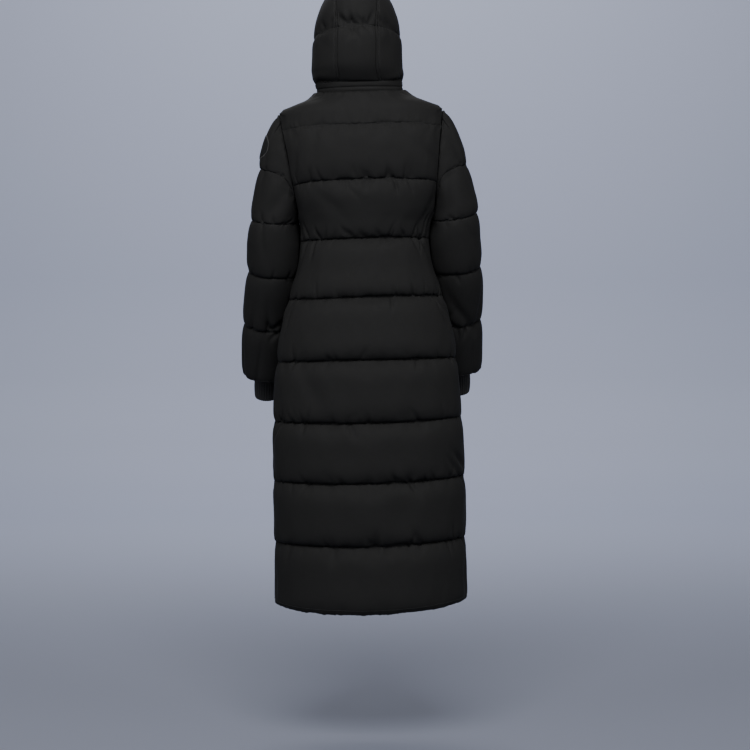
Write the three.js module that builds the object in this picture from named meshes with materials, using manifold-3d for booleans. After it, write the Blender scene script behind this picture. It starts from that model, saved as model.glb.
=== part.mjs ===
// A very long hooded down parka, kept in the hollow shape it has when it is worn.
// Millimetres, +Z up. The front faces -Y and the wearer's left is +X.
// The origin is at the neck, midway between the shoulders that hold the coat up.
import * as THREE from "three";
import Manifold from "manifold-3d";

// Driving sizes.
const GAP = 0.3; // between neighbouring pieces
const CENTRE_BACK_LENGTH = 1215; // neck to hem
const SHOULDER_HALF = 195; // neck centre to the top of the armhole
const SHOULDER_DROP = 37;
const UNDERARM_HALF = 163;
const UNDERARM_DROP = 279.5;
const NECK_SIDE = 2; // height of the neckline at the shoulder seams
const NECK_BACK = -4;
const NECK_FRONT_FALL = 44; // how far the neckline falls towards the front
const BAND_HEIGHT = 27;
const BAND_WALL = 7;
const BAND_FLARE = 3;
const BAND_INSET = 1.9; // the band stands just inside the neckline
const EDGE_WALL = 4.5; // the quilted wall where it is stitched flat
const ZIP_SLOT_HALF = 6; // half the slot between the two fronts
const HEM_FALL = 18; // the hem lies this much lower at the centre back
const LEAN = 0.028; // the coat hangs a little lower on the wearer's left

// Quilting lines from the neck to the hem: the height, the wall left at the stitches, and the
// fullness of the channel under the line.
const QUILT_LINES = [
  { z: NECK_SIDE, seam: 6, puff: 8 },
  { z: -76, seam: 9, puff: 13 },
  { z: -210, seam: 7, puff: 18 },
  { z: -349, seam: 4, puff: 21 },
  { z: -490, seam: 4.5, puff: 22 },
  { z: -637, seam: 4.5, puff: 22 },
  { z: -778, seam: 4.5, puff: 22 },
  { z: -919, seam: 4.5, puff: 22 },
  { z: -1066, seam: 4.5, puff: 20 },
  { z: -CENTRE_BACK_LENGTH, seam: 9, puff: 0 },
];

// Lining sections of the body: half width, depth to the back and to the front, the depth of
// the widest line, and how square the section is.
const BODY = [
  { z: 2, half: 104, back: 84, front: 76, mid: 0, square: 2.0 },
  { z: -20, half: 152, back: 89, front: 84, mid: 0, square: 2.0 },
  { z: -37, half: 195, back: 95, front: 92, mid: 0, square: 2.1 },
  { z: -62, half: 199, back: 100, front: 101, mid: 0, square: 2.2 },
  { z: -100, half: 200, back: 107, front: 113, mid: 0, square: 2.4 },
  { z: -160, half: 196, back: 112, front: 124, mid: 0, square: 2.5 },
  { z: -220, half: 184, back: 110, front: 127, mid: 0, square: 2.5 },
  { z: -279.5, half: 163, back: 104, front: 121, mid: 0, square: 2.4 },
  { z: -310, half: 153, back: 99, front: 116, mid: 0, square: 2.35 },
  { z: -349, half: 149, back: 96, front: 111, mid: 0, square: 2.3 },
  { z: -420, half: 158, back: 104, front: 111, mid: 4, square: 2.3 },
  { z: -490, half: 179, back: 117, front: 116, mid: 10, square: 2.2 },
  { z: -563, half: 196, back: 128, front: 123, mid: 18, square: 2.2 },
  { z: -637, half: 208, back: 137, front: 130, mid: 24, square: 2.15 },
  { z: -778, half: 219, back: 146, front: 141, mid: 24, square: 2.15 },
  { z: -919, half: 223, back: 151, front: 150, mid: 18, square: 2.15 },
  { z: -1066, half: 223, back: 154, front: 156, mid: 12, square: 2.15 },
  { z: -1215, half: 221, back: 155, front: 160, mid: 10, square: 2.15 },
];

// The largest folds of the body, each a soft trough: its angle round from the centre back, its
// middle height, half its length and half its width, its depth, and how it slants.
const FOLDS = [
  { angle: 0.42, z: -262, long: 70, wide: 24, deep: 7, slant: 0.7 },
  { angle: -0.95, z: -285, long: 62, wide: 22, deep: 6, slant: -0.8 },
  { angle: 1.12, z: -530, long: 70, wide: 26, deep: 8, slant: -0.5 },
  { angle: -1.2, z: -545, long: 66, wide: 26, deep: 8, slant: 0.6 },
  { angle: -1.15, z: -872, long: 78, wide: 26, deep: 9, slant: 0.9 },
  { angle: 0.6, z: -700, long: 90, wide: 28, deep: 5, slant: 0.25 },
  { angle: -0.3, z: -1010, long: 95, wide: 30, deep: 5, slant: -0.2 },
  { angle: 2.5, z: -420, long: 80, wide: 26, deep: 7, slant: -0.5 },
  { angle: -2.35, z: -455, long: 76, wide: 26, deep: 7, slant: 0.6 },
  { angle: 2.2, z: -850, long: 90, wide: 28, deep: 7, slant: 0.4 },
  { angle: -2.6, z: -990, long: 90, wide: 28, deep: 6, slant: -0.3 },
];

// Sideways drift of the hanging coat.
const SWAY = [
  { z: 60, x: 6 },
  { z: 0, x: -3 },
  { z: -37, x: -4 },
  { z: -279.5, x: -18 },
  { z: -349, x: -15 },
  { z: -637, x: -17 },
  { z: -919, x: -23 },
  { z: -1215, x: -28 },
];

// Lining of the sleeves at their quilting lines under the armpit: distance of each arm from
// the centre and forward, and the two half widths.
const ARM = [
  { at: 1, z: -294, left: 218, right: 208, leftOut: 8, rightOut: 8, across: 52, deep: 56 },
  { at: 2, z: -418, left: 229, right: 221, leftOut: 40, rightOut: 46, across: 52, deep: 54 },
  { at: 3, z: -543, left: 241, right: 223, leftOut: 90, rightOut: 104, across: 51, deep: 52 },
  { at: 4, z: -668, left: 250, right: 226, leftOut: 144, rightOut: 156, across: 49, deep: 49 },
];
const BODY_CLEARANCE = 3; // between a hanging sleeve and the body
const CAP_FULLNESS = 3.2; // how quickly the sleeve narrows below the shoulder
const SLEEVE_PUFF = 9;
const INNER_FULLNESS = 0.24; // the sleeve's spread towards the waist, of its half width
// The uppermost sleeve quilting line lies in a slanting plane through this point.
const CAP_LINE = { x: 174, z: -202, slope: 0.427, least: 0.18 };

// Lining of the hood, in rows from the neck over the crown to the brim: the back (or top)
// point, the widest point and the face edge, each as depth and height, with the half widths
// at the last two and the roundness of the row.
const HOOD = [
  { at: 0, backY: 80, backZ: 24, midY: 0, midZ: 29, edgeY: -86, edgeZ: -14, half: 99, edge: 10, round: 2.0 },
  { at: 1, backY: 95, backZ: 58, midY: -2, midZ: 52, edgeY: -96, edgeZ: 32, half: 97, edge: 36, round: 2.1 },
  { at: 2, backY: 102, backZ: 104, midY: -6, midZ: 98, edgeY: -99, edgeZ: 86, half: 94, edge: 60, round: 2.1 },
  { at: 3, backY: 102, backZ: 150, midY: -10, midZ: 147, edgeY: -98, edgeZ: 140, half: 96, edge: 72, round: 2.0 },
  { at: 4, backY: 88, backZ: 210, midY: -28, midZ: 160, edgeY: -100, edgeZ: 152, half: 92, edge: 77, round: 1.9 },
  { at: 5, backY: 50, backZ: 256, midY: -48, midZ: 170, edgeY: -103, edgeZ: 163, half: 88, edge: 79, round: 1.8 },
  { at: 6, backY: -2, backZ: 276, midY: -70, midZ: 178, edgeY: -107, edgeZ: 173, half: 86, edge: 80, round: 1.8 },
  { at: 7, backY: -62, backZ: 268, midY: -92, midZ: 185, edgeY: -112, edgeZ: 182, half: 84, edge: 80, round: 1.85 },
  { at: 8, backY: -122, backZ: 234, midY: -112, midZ: 192, edgeY: -118, edgeZ: 190, half: 82, edge: 80, round: 1.9 },
];
const HOOD_LINES = [0, 3, 5.6, 8]; // rows that are stitched across
const HOOD_PUFF = 10;
const CENTRE_PANEL_HALF = 43;

const CUFF = { radius: 29, wall: 2, rib: 1.6, ribs: 30, inside: 26, outside: 64 };
const ZIP = { chainHalf: 3.4, chainProud: 1.5, tapeHalf: 18, tapeWall: 1.2 };
const SLIDER = { half: 5, length: 16, wall: 2.2, z: -25 };
const EARS = { from: 2.9, to: 4.3, proud: 4, length: 5 };
const PULL = { pin: 1.1, half: 3.2, length: 23, wall: 1.6, clearance: 3.6 };
const PATCH = { radius: 29, wall: 2, lift: 0.9, angle: 0.35, row: 0.6, cells: 10 };

const lerp = (a, b, t) => a + (b - a) * t;
const clamp = (x, low, high) => Math.min(high, Math.max(low, x));
const smooth = (t) => t * t * (3 - 2 * t);
const power = (x, p) => Math.sign(x) * Math.abs(x) ** p;

// A smooth curve through one column of a table, by its key column.
function column(table, key, name) {
  const rows = [...table].sort((a, b) => a[key] - b[key]);
  const k = rows.map((r) => r[key]);
  const v = rows.map((r) => r[name]);
  const last = k.length - 1;
  const slope = (i) => {
    if (i === 0) return (v[1] - v[0]) / (k[1] - k[0]);
    if (i === last) return (v[last] - v[last - 1]) / (k[last] - k[last - 1]);
    return (v[i + 1] - v[i - 1]) / (k[i + 1] - k[i - 1]);
  };
  return (x) => {
    const q = clamp(x, k[0], k[last]);
    let i = 0;
    while (i < last - 1 && q > k[i + 1]) i += 1;
    const w = k[i + 1] - k[i];
    const t = (q - k[i]) / w;
    const even = lerp(v[i], v[i + 1], smooth(t));
    return even + w * t * (1 - t) * ((1 - t) * slope(i) - t * slope(i + 1));
  };
}

const columns = (table, key, names) =>
  Object.fromEntries(names.map((name) => [name, column(table, key, name)]));

// The same with straight lines between the rows.
function track(table, key, name) {
  const rows = [...table].sort((a, b) => a[key] - b[key]);
  return (x) => {
    let i = 0;
    while (i < rows.length - 2 && x > rows[i + 1][key]) i += 1;
    const t = (x - rows[i][key]) / (rows[i + 1][key] - rows[i][key]);
    return lerp(rows[i][name], rows[i + 1][name], clamp(t, 0, 1));
  };
}
const body = columns(BODY, "z", ["half", "back", "front", "square"]);
body.mid = track(BODY, "z", "mid");
const sway = track(SWAY, "z", "x");
const arm = columns(ARM, "at", ["z", "left", "right", "leftOut", "rightOut", "across", "deep"]);
const hood = columns(HOOD, "at", Object.keys(HOOD[0]).filter((name) => name !== "at"));

// The hanging coat drifts sideways and leans a little.
function settle(p) {
  const x = p.x + sway(p.z);
  return new THREE.Vector3(x, p.y, p.z - LEAN * x);
}

// The outward normal of a surface given as a function of two numbers.
function normalOf(surface, a, b, stepA, stepB) {
  const alongA = surface(a + stepA, b).sub(surface(a - stepA, b));
  const alongB = surface(a, b + stepB).sub(surface(a, b - stepB));
  return alongA.cross(alongB).normalize();
}

// Positions between two limits, with more of them near the stitched ends of each channel.
const CHANNEL = [0, 0.07, 0.22, 0.5, 0.78, 0.93];
const PLAIN_CHANNEL = [0, 0.5];
const channelRows = (lines, steps = CHANNEL) => [
  ...lines.slice(1).flatMap((end, i) => steps.map((t) => lerp(lines[i], end, t))),
  lines[lines.length - 1],
];
const evenly = (from, to, count) =>
  Array.from({ length: count + 1 }, (_, i) => lerp(from, to, i / count));

// The swelling of a quilted channel, fullest a little below its middle.
const swell = (t) => (1 - Math.abs(2 * t ** 1.12 - 1) ** 2.6) ** 0.7;
const channelOf = (lines, x) => {
  const step = Math.sign(lines[1] - lines[0]);
  let i = 0;
  while (i < lines.length - 2 && (x - lines[i + 1]) * step > 0) i += 1;
  return { i, t: clamp((x - lines[i]) / (lines[i + 1] - lines[i]), 0, 1) };
};

// Joins triangles into a mesh geometry that faces out.
function solid(points, faces, place) {
  const at = points.map((p) => place(p));
  const volume = faces.reduce(
    (sum, [a, b, c]) => sum + at[a].dot(new THREE.Vector3().crossVectors(at[b], at[c])), 0);
  const turned = volume < 0 ? faces.map(([a, b, c]) => [a, c, b]) : faces;
  const geometry = new THREE.BufferGeometry().setFromPoints(at);
  geometry.setIndex(turned.flat());
  geometry.computeVertexNormals();
  return geometry;
}

// A wall between an outer and an inner grid of points, which may have different numbers of
// rows and columns. A closed wall runs round a tube, and its columns wrap.
function wall(outer, inner, closed = false, place = settle) {
  const points = [];
  const faces = [];
  const number = (grid) =>
    grid.map((row) => row.map((p) => points.push(p) - 1));
  const skin = (ids, flip) => {
    const count = ids[0].length;
    for (let i = 0; i + 1 < ids.length; i += 1) {
      for (let j = 0; j < (closed ? count : count - 1); j += 1) {
        const k = (j + 1) % count;
        const quad = [ids[i][j], ids[i][k], ids[i + 1][k], ids[i + 1][j]];
        if (flip) quad.reverse();
        faces.push([quad[0], quad[1], quad[2]], [quad[0], quad[2], quad[3]]);
      }
    }
  };
  const lace = (a, b, flip = false) => {
    const face = (x, y, z) => faces.push(flip ? [x, z, y] : [x, y, z]);
    let i = 0;
    let j = 0;
    while (i < a.length - 1 || j < b.length - 1) {
      const stepA = (i + 1) / (a.length - 1);
      const stepB = (j + 1) / (b.length - 1);
      if (j === b.length - 1 || (i < a.length - 1 && stepA <= stepB + 1e-9)) {
        face(a[i], b[j], a[i + 1]);
        i += 1;
      } else {
        face(a[i], b[j], b[j + 1]);
        j += 1;
      }
    }
  };
  const out = number(outer);
  const inn = number(inner);
  skin(out, false);
  skin(inn, true);
  const ring = (row) => (closed ? [...row, row[0]] : row);
  const first = (ids) => ids.map((row) => row[0]);
  const last = (ids) => ids.map((row) => row[row.length - 1]);
  lace(ring(out[0]), ring(inn[0]));
  lace(ring(inn[inn.length - 1]), ring(out[out.length - 1]));
  if (!closed) {
    lace(first(inn), first(out));
    lace(last(inn), last(out), true);
  }
  return solid(points, faces, place);
}

const cloth = { color: 0x1c1c1d, roughness: 0.62, metalness: 0 };
const knit = { color: 0x161617, roughness: 0.95, metalness: 0 };
const metal = { color: 0x2a2a2c, roughness: 0.35, metalness: 1 };
const coat = new THREE.Group();
function add(name, geometry, finish, parent = coat) {
  const mesh = new THREE.Mesh(geometry, new THREE.MeshStandardMaterial(finish));
  mesh.name = name;
  parent.add(mesh);
  return mesh;
}

// Body. A level is the height of a row at the shoulder seam or side seam. Rows above the
// first quilting line bend to follow the neckline.
const YOKE = QUILT_LINES[1].z;
const LAST_LINE = QUILT_LINES[QUILT_LINES.length - 2].z;
const LEVELS = QUILT_LINES.map((line) => line.z);
const armholeHalf = (z) =>
  lerp(SHOULDER_HALF, UNDERARM_HALF, (-SHOULDER_DROP - z) / (UNDERARM_DROP - SHOULDER_DROP));
const inArmhole = (z) => z < -SHOULDER_DROP && z > -UNDERARM_DROP;

function neckHeight(phi) {
  const turn = Math.abs(phi) / (Math.PI / 2);
  if (turn < 1) return lerp(NECK_BACK, NECK_SIDE, turn * turn);
  return NECK_SIDE - NECK_FRONT_FALL * (turn - 1) ** 3;
}

function heightAt(phi, level) {
  if (level < LAST_LINE) {
    const share = (LAST_LINE - level) / (LAST_LINE + CENTRE_BACK_LENGTH);
    return level - HEM_FALL * share * Math.max(0, Math.cos(phi)) ** 1.5;
  }
  if (level <= YOKE) return level;
  return lerp(YOKE, neckHeight(phi), (level - YOKE) / (NECK_SIDE - YOKE));
}

function section(phi, z) {
  const p = 2 / body.square(z);
  const c = power(Math.cos(phi), p);
  const mid = body.mid(z);
  const y = mid + c * (c > 0 ? body.back(z) - mid : body.front(z) + mid);
  return new THREE.Vector3(body.half(z) * power(Math.sin(phi), p), y, z);
}
const bodyPoint = (phi, level) => section(phi, heightAt(phi, level));

// The angle from the centre back (or from the centre front) to a half width.
const angleTo = (half, z) =>
  Math.asin(clamp(half / body.half(z), 0, 1) ** (body.square(z) / 2));
const seamAngle = (level) => (inArmhole(level) ? angleTo(armholeHalf(level), level) : Math.PI / 2);

// How much a wall keeps of its fullness beside a sewn edge.
const besideSeam = (distance, width, least) =>
  lerp(least, 1, clamp(distance / width, 0, 1) ** 0.5);

// The filling is pressed flat where the arms hang against the sides.
const pressed = (level) => Math.exp(-(((level + 330) / 100) ** 4));

// How deep the folds are at a place on the body.
function foldDepth(phi, z) {
  return FOLDS.reduce((sum, fold) => {
    const x = (phi - fold.angle) * 190;
    const y = z - fold.z;
    const size = Math.hypot(1, fold.slant);
    const along = (y + x * fold.slant) / size;
    const aside = (x - y * fold.slant) / size;
    return sum + fold.deep * Math.exp(-((along / fold.long) ** 2) - (aside / fold.wide) ** 2);
  }, 0);
}

function bodyWall(phi, level, distance) {
  const { i, t } = channelOf(LEVELS, level);
  const seam = lerp(QUILT_LINES[i].seam, QUILT_LINES[i + 1].seam, t);
  const flat = pressed(level);
  const facing = Math.abs(Math.cos(phi)) ** 0.8;
  const thin = level > YOKE ? 0.1 : 0.42; // beside the armholes and over the shoulders
  const girth = lerp(thin * (1 - flat), 1, facing);
  const full = QUILT_LINES[i].puff * girth * swell(t) * besideSeam(distance, 45, 0.35);
  const fold = Math.min(foldDepth(phi, level), 0.6 * full);
  return seam * lerp(1 - 0.5 * flat, 1, facing) + full - fold;
}

// A body panel between two edges. The far ends of a row are given as angles, and trim sets
// the edge points exactly on their seams.
function bodyPanel(startAngle, endAngle, trim, columnsOut, columnsIn) {
  const grid = (levels, count, outside) =>
    levels.map((level) =>
      evenly(0, 1, count).map((u) => {
        const from = startAngle(level);
        const to = endAngle(level);
        const phi = lerp(from, to, u);
        const p = bodyPoint(phi, level);
        if (outside && level === NECK_SIDE) {
          p.z += QUILT_LINES[0].seam;
        } else if (outside) {
          const n = normalOf(bodyPoint, phi, level, 0.02, 3);
          const ends = [from, to].map((angle) => p.distanceTo(bodyPoint(angle, level)));
          p.addScaledVector(n, -bodyWall(phi, level, Math.min(...ends)));
        }
        return trim(p, u, level);
      }),
    );
  return wall(grid(channelRows(LEVELS), columnsOut, true),
    grid(channelRows(LEVELS, PLAIN_CHANNEL), columnsIn, false));
}

// A body panel stays on its side of the armhole planes and of the side and shoulder seams.
function keepInside(p, level, behind) {
  if (level >= -UNDERARM_DROP) {
    p.x = Math.sign(p.x) * Math.min(Math.abs(p.x), armholeHalf(p.z) - GAP / 2);
  }
  const mid = body.mid(p.z);
  p.y = behind ? Math.max(p.y, mid + GAP / 2) : Math.min(p.y, mid - GAP / 2);
  return p;
}
function trimSide(p, level, behind) {
  if (inArmhole(level)) p.x = Math.sign(p.x) * (armholeHalf(p.z) - GAP / 2);
  else p.y = body.mid(p.z) + (behind ? GAP / 2 : -GAP / 2);
  return keepInside(p, level, behind);
}

add("back", bodyPanel(
  (level) => -seamAngle(level),
  (level) => seamAngle(level),
  (p, u, level) => (u === 0 || u === 1 ? trimSide(p, level, true) : keepInside(p, level, true)),
  22, 12), cloth);

for (const [name, side] of [["front_left", 1], ["front_right", -1]]) {
  add(name, bodyPanel(
    (level) => side * (Math.PI - seamAngle(level)),
    (level) => side * (Math.PI - angleTo(ZIP_SLOT_HALF, heightAt(Math.PI, level))),
    (p, u, level) => {
      if (u === 0) return trimSide(p, level, false);
      if (u === 1) p.x = side * ZIP_SLOT_HALF;
      return keepInside(p, level, false);
    },
    11, 6), cloth);
}

// Sleeves, worked out on the wearer's left and mirrored for the right. A ring starts as the
// armhole at 0, turns about the armpit until it lies level at 1, and goes on to the hem at 4.
const PIT = new THREE.Vector3(UNDERARM_HALF, 0, -UNDERARM_DROP);
const TIP = new THREE.Vector3(SHOULDER_HALF, 0, -SHOULDER_DROP);
const armCentre = (s, side) => new THREE.Vector3(arm[side](s), -arm[side + "Out"](s), arm.z(s));

// How far out the body's cloth reaches beside a point.
function bodySide(p) {
  if (p.z > -UNDERARM_DROP) return armholeHalf(p.z);
  const { i, t } = channelOf(LEVELS, p.z);
  const thick = bodyWall(Math.PI / 2 + 0.5, p.z, 40) + 1 + 2 * swell(t) * (i > 2 ? 1 : 0);
  const mid = body.mid(p.z);
  const depth = (p.y > mid ? body.back(p.z) - mid : body.front(p.z) + mid) + thick;
  const n = body.square(p.z);
  const rest = 1 - Math.min(1, Math.abs(p.y - mid) / depth) ** n;
  return rest > 0 ? (body.half(p.z) + thick) * rest ** (1 / n) : 0;
}

function armFrame(s, side) {
  const down = armCentre(s + 0.02, side).sub(armCentre(s - 0.02, side)).normalize();
  const out = new THREE.Vector3(1, 0, 0).addScaledVector(down, -down.x).normalize();
  return { down, out, back: out.clone().cross(down) };
}

function armholeDepth(z, behind) {
  const rest = (1 - clamp(armholeHalf(z) / body.half(z), 0, 1) ** body.square(z)) ** (1 / body.square(z));
  return behind ? body.back(z) * rest : body.front(z) * rest;
}

function sleevePoint(theta, s, side) {
  const c = Math.cos(theta);
  const d = Math.sin(theta);
  if (s >= 1) {
    const { out, back } = armFrame(s, side);
    const spread = smooth(clamp((s - 1) / 0.5, 0, 1)) * smooth(clamp(2.8 - s, 0, 1));
    const wide = c < 0 ? 1 + INNER_FULLNESS * spread : 1;
    return armCentre(s, side)
      .addScaledVector(out, arm.across(s) * wide * c)
      .addScaledVector(back, arm.deep(s) * d);
  }
  const low = armFrame(1, side);
  const q = clamp(s, 0, 1);
  const angle = lerp(Math.atan2(TIP.z - PIT.z, TIP.x - PIT.x), Math.atan2(low.out.z, low.out.x), q);
  const out = new THREE.Vector3(Math.cos(angle), 0, Math.sin(angle));
  const pit = PIT.clone().lerp(armCentre(1, side).addScaledVector(low.out, -arm.across(1)), q);
  const reach = arm.across(1) + (TIP.distanceTo(PIT) / 2 - arm.across(1)) * (1 - q) ** CAP_FULLNESS;
  const z = lerp((TIP.z + PIT.z) / 2, TIP.z, c);
  const depth = lerp(Math.sign(d) * armholeDepth(z, d > 0), arm.deep(1) * d, smooth(q));
  return pit
    .addScaledVector(out, reach * (1 + c))
    .add(low.back.clone().multiplyScalar(smooth(q)).add(new THREE.Vector3(0, 1 - smooth(q), 0)).multiplyScalar(depth));
}

// Where a line down the sleeve crosses the slanting cap line.
function capLine(theta, side) {
  const above = (s) => {
    const p = sleevePoint(theta, s, side);
    return p.z - CAP_LINE.z - CAP_LINE.slope * (p.x - CAP_LINE.x);
  };
  let low = 0;
  let high = 1;
  for (let i = 0; i < 24; i += 1) {
    const half = (low + high) / 2;
    if (above(half) > 0) low = half;
    else high = half;
  }
  return Math.max(low, CAP_LINE.least);
}

// A row counts quilting channels down the sleeve: 0 to 1 is the cap, and 5 is the hem.
const SLEEVE_ROWS = [0, 1, 2, 3, 4, 5];
function sleeveAt(theta, row, side) {
  if (row >= 2) return row - 1;
  const line = capLine(theta, side);
  return row < 1 ? line * row : lerp(line, 1, row - 1);
}

function sleeveWall(theta, row) {
  const { i, t } = channelOf(SLEEVE_ROWS, row);
  const outside = 0.25 + 0.75 * ((1 + Math.cos(theta)) / 2) ** 0.6;
  const cap = i < 2 ? 0.8 : 1;
  return EDGE_WALL + SLEEVE_PUFF * outside * cap * swell(t);
}

function sleeveSurface(theta, row, side, raise) {
  const at = (a, b) => sleevePoint(a, clamp(sleeveAt(a, b, side), 0, 4), side);
  const p = at(theta, row);
  if (raise > 0) {
    const b = clamp(row, 0.03, 4.97);
    p.addScaledVector(normalOf(at, theta, b, 0.03, 0.03), -raise);
  }
  const beside = row > 0 || p.z < -UNDERARM_DROP;
  const clear = beside ? BODY_CLEARANCE * Math.min(1, 0.4 + row * 4) : GAP / 2;
  p.x = Math.max(p.x, bodySide(p) + clear + (raise > 0 || row === 0 ? 0 : 3));
  return p;
}

const mirrored = (p, side) => (side === "left" ? p : new THREE.Vector3(-p.x, p.y, p.z));
const around = (count) => Array.from({ length: count }, (_, j) => (2 * Math.PI * j) / count);

for (const side of ["left", "right"]) {
  const grid = (rows, count, thick) =>
    rows.map((row) =>
      around(count).map((theta) =>
        mirrored(sleeveSurface(theta, row, side, thick ? sleeveWall(theta, row) : 0), side)));
  const outer = grid(channelRows(SLEEVE_ROWS), 20, true);
  const inner = grid(channelRows(SLEEVE_ROWS, PLAIN_CHANNEL), 12, false);
  add("sleeve_" + side, wall(outer, inner, true), cloth);
}

// Knit cuffs, sewn inside the sleeve ends, with ribs along the arm.
for (const side of ["left", "right"]) {
  const { down, out, back } = armFrame(4, side);
  const hem = armCentre(4, side);
  const lining = Math.min(arm.across(4), arm.deep(4)) - 1.4;
  const rows = [
    { along: -CUFF.inside, radius: lining },
    { along: -CUFF.inside + 5, radius: lining - 3 },
    { along: -4, radius: CUFF.radius + 2 },
    { along: 12, radius: CUFF.radius },
    { along: CUFF.outside, radius: CUFF.radius - 1.5 },
  ];
  const ring = (row, count, rise) =>
    around(count).map((theta, j) => {
      const r = row.radius + rise(j);
      return mirrored(hem.clone()
        .addScaledVector(down, row.along)
        .addScaledVector(out, r * Math.cos(theta))
        .addScaledVector(back, r * Math.sin(theta)), side);
    });
  const outer = rows.map((row, i) =>
    ring(row, 2 * CUFF.ribs, (j) => (i > 1 && j % 2 ? CUFF.rib : 0)));
  const inner = rows.map((row) => ring(row, 20, () => -CUFF.wall - 0.4));
  add("cuff_" + side, wall(outer, inner, true), knit);
}

// Neck band, standing on the neckline, open at the centre front.
const BAND_COLUMNS = 36;
function bandPoint(phi, rise, inward = 0) {
  const p = bodyPoint(phi, NECK_SIDE);
  const outward = new THREE.Vector3(p.x, p.y, 0).normalize();
  p.addScaledVector(outward, BAND_FLARE * rise - BAND_INSET - inward);
  return p.setZ(p.z + BAND_HEIGHT * rise);
}
{
  const end = Math.PI - angleTo(ZIP_SLOT_HALF, heightAt(Math.PI, NECK_SIDE));
  const grid = (rises, inward) =>
    rises.map(({ rise, dent }) =>
      evenly(-end, end, BAND_COLUMNS).map((phi, j) => {
        const p = bandPoint(phi, rise, inward + dent);
        if (j % BAND_COLUMNS === 0) p.x = Math.sign(p.x) * ZIP_SLOT_HALF;
        return p;
      }));
  const outside = [
    { rise: 1, dent: 1 },
    { rise: 0.78, dent: 0 },
    { rise: 0.5, dent: 1.8 },
    { rise: 0.22, dent: 0 },
    { rise: 0, dent: 0 },
  ];
  const inside = [{ rise: 1, dent: 0 }, { rise: 0, dent: 0 }];
  add("neck_band", wall(grid(outside, 0), grid(inside, BAND_WALL)), cloth);
}

// Hood, in three panels. A row runs from one face edge round the back to the other.
function hoodPoint(u, row) {
  const turn = Math.abs(u);
  const widest = 0.6 + 0.035 * row;
  const p = 2 / hood.round(row);
  const half = hood.half(row);
  let x;
  let y;
  let z;
  if (turn <= widest) {
    const a = (turn / widest) * (Math.PI / 2);
    const c = power(Math.cos(a), p);
    x = half * power(Math.sin(a), p);
    y = lerp(hood.midY(row), hood.backY(row), c);
    z = lerp(hood.midZ(row), hood.backZ(row), c);
  } else {
    const a = ((turn - widest) / (1 - widest)) * (Math.PI / 2);
    x = lerp(hood.edge(row), half, Math.cos(a));
    y = lerp(hood.midY(row), hood.edgeY(row), Math.sin(a));
    z = lerp(hood.midZ(row), hood.edgeZ(row), Math.sin(a));
  }
  const point = new THREE.Vector3(Math.sign(u) * x, y, z);
  if (row < 1) point.lerp(bandTop(u, BAND_WALL), (1 - row) ** 2);
  return point;
}

function bandTop(u, inward) {
  const p = bandPoint(u * (Math.PI - 0.12), 1, inward);
  return p.setZ(p.z + GAP);
}

function centrePanelEdge(row) {
  const half = hood.half(row);
  const a = Math.asin((CENTRE_PANEL_HALF / half) ** (hood.round(row) / 2));
  return (0.6 + 0.035 * row) * (a / (Math.PI / 2));
}

function hoodWall(row, distance) {
  const { t } = channelOf(HOOD_LINES, row);
  return EDGE_WALL + 1 + HOOD_PUFF * swell(t) * besideSeam(distance, 35, 0.5);
}

function hoodPanel(start, end, trim, columnsOut, columnsIn) {
  const grid = (rows, count, outside) =>
    rows.map((row) =>
      evenly(0, 1, count).map((t) => {
        const from = start(row);
        const to = end(row);
        const u = lerp(from, to, t);
        const p = hoodPoint(u, row);
        if (outside) {
          const ends = [from, to].map((edge) => p.distanceTo(hoodPoint(edge, row)));
          const safeRow = clamp(row, 0.05, 7.95);
          const n = normalOf(hoodPoint, clamp(u, -0.97, 0.97), safeRow, 0.02, 0.04);
          p.addScaledVector(n, hoodWall(row, Math.min(...ends)));
          if (row === 0) p.copy(bandTop(u, 1));
        }
        return trim(p, t);
      }));
  return wall(grid(channelRows(HOOD_LINES), columnsOut, true),
    grid(channelRows(HOOD_LINES, [0, 0.25, 0.5, 0.75]), columnsIn, false));
}

add("hood_centre", hoodPanel(
  (row) => -centrePanelEdge(row),
  (row) => centrePanelEdge(row),
  (p, t) => (t === 0 || t === 1 ? p.setX(Math.sign(p.x) * (CENTRE_PANEL_HALF - GAP / 2)) : p),
  6, 4), cloth);
for (const [name, side] of [["hood_left", 1], ["hood_right", -1]]) {
  add(name, hoodPanel(
    (row) => side * centrePanelEdge(row),
    () => side,
    (p, t) => (t === 0 ? p.setX(side * (CENTRE_PANEL_HALF + GAP / 2)) : p),
    10, 6), cloth);
}

// Zip. Each half is a tape behind the front's edge with its row of teeth in the slot. The
// stations are the edge of the front's lining and a point further in, from the top down.
const zipStations = (side) => {
  const end = Math.PI - angleTo(ZIP_SLOT_HALF, heightAt(Math.PI, NECK_SIDE));
  const onBand = [1, 0].map((rise) => [
    bandPoint(end, rise, BAND_WALL).setX(ZIP_SLOT_HALF),
    bandPoint(end * (1 - 4 / BAND_COLUMNS), rise, BAND_WALL),
  ]);
  const onFront = channelRows(LEVELS, PLAIN_CHANNEL).slice(1).map((level) => {
    const edge = Math.PI - angleTo(ZIP_SLOT_HALF, heightAt(Math.PI, level));
    return [edge, lerp(edge, seamAngle(level), 1 / 6)].map((at) => bodyPoint(at, level));
  });
  return [...onBand, ...onFront].map((pair) =>
    pair.map((p) => new THREE.Vector3(side * p.x, p.y, p.z)));
};

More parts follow.
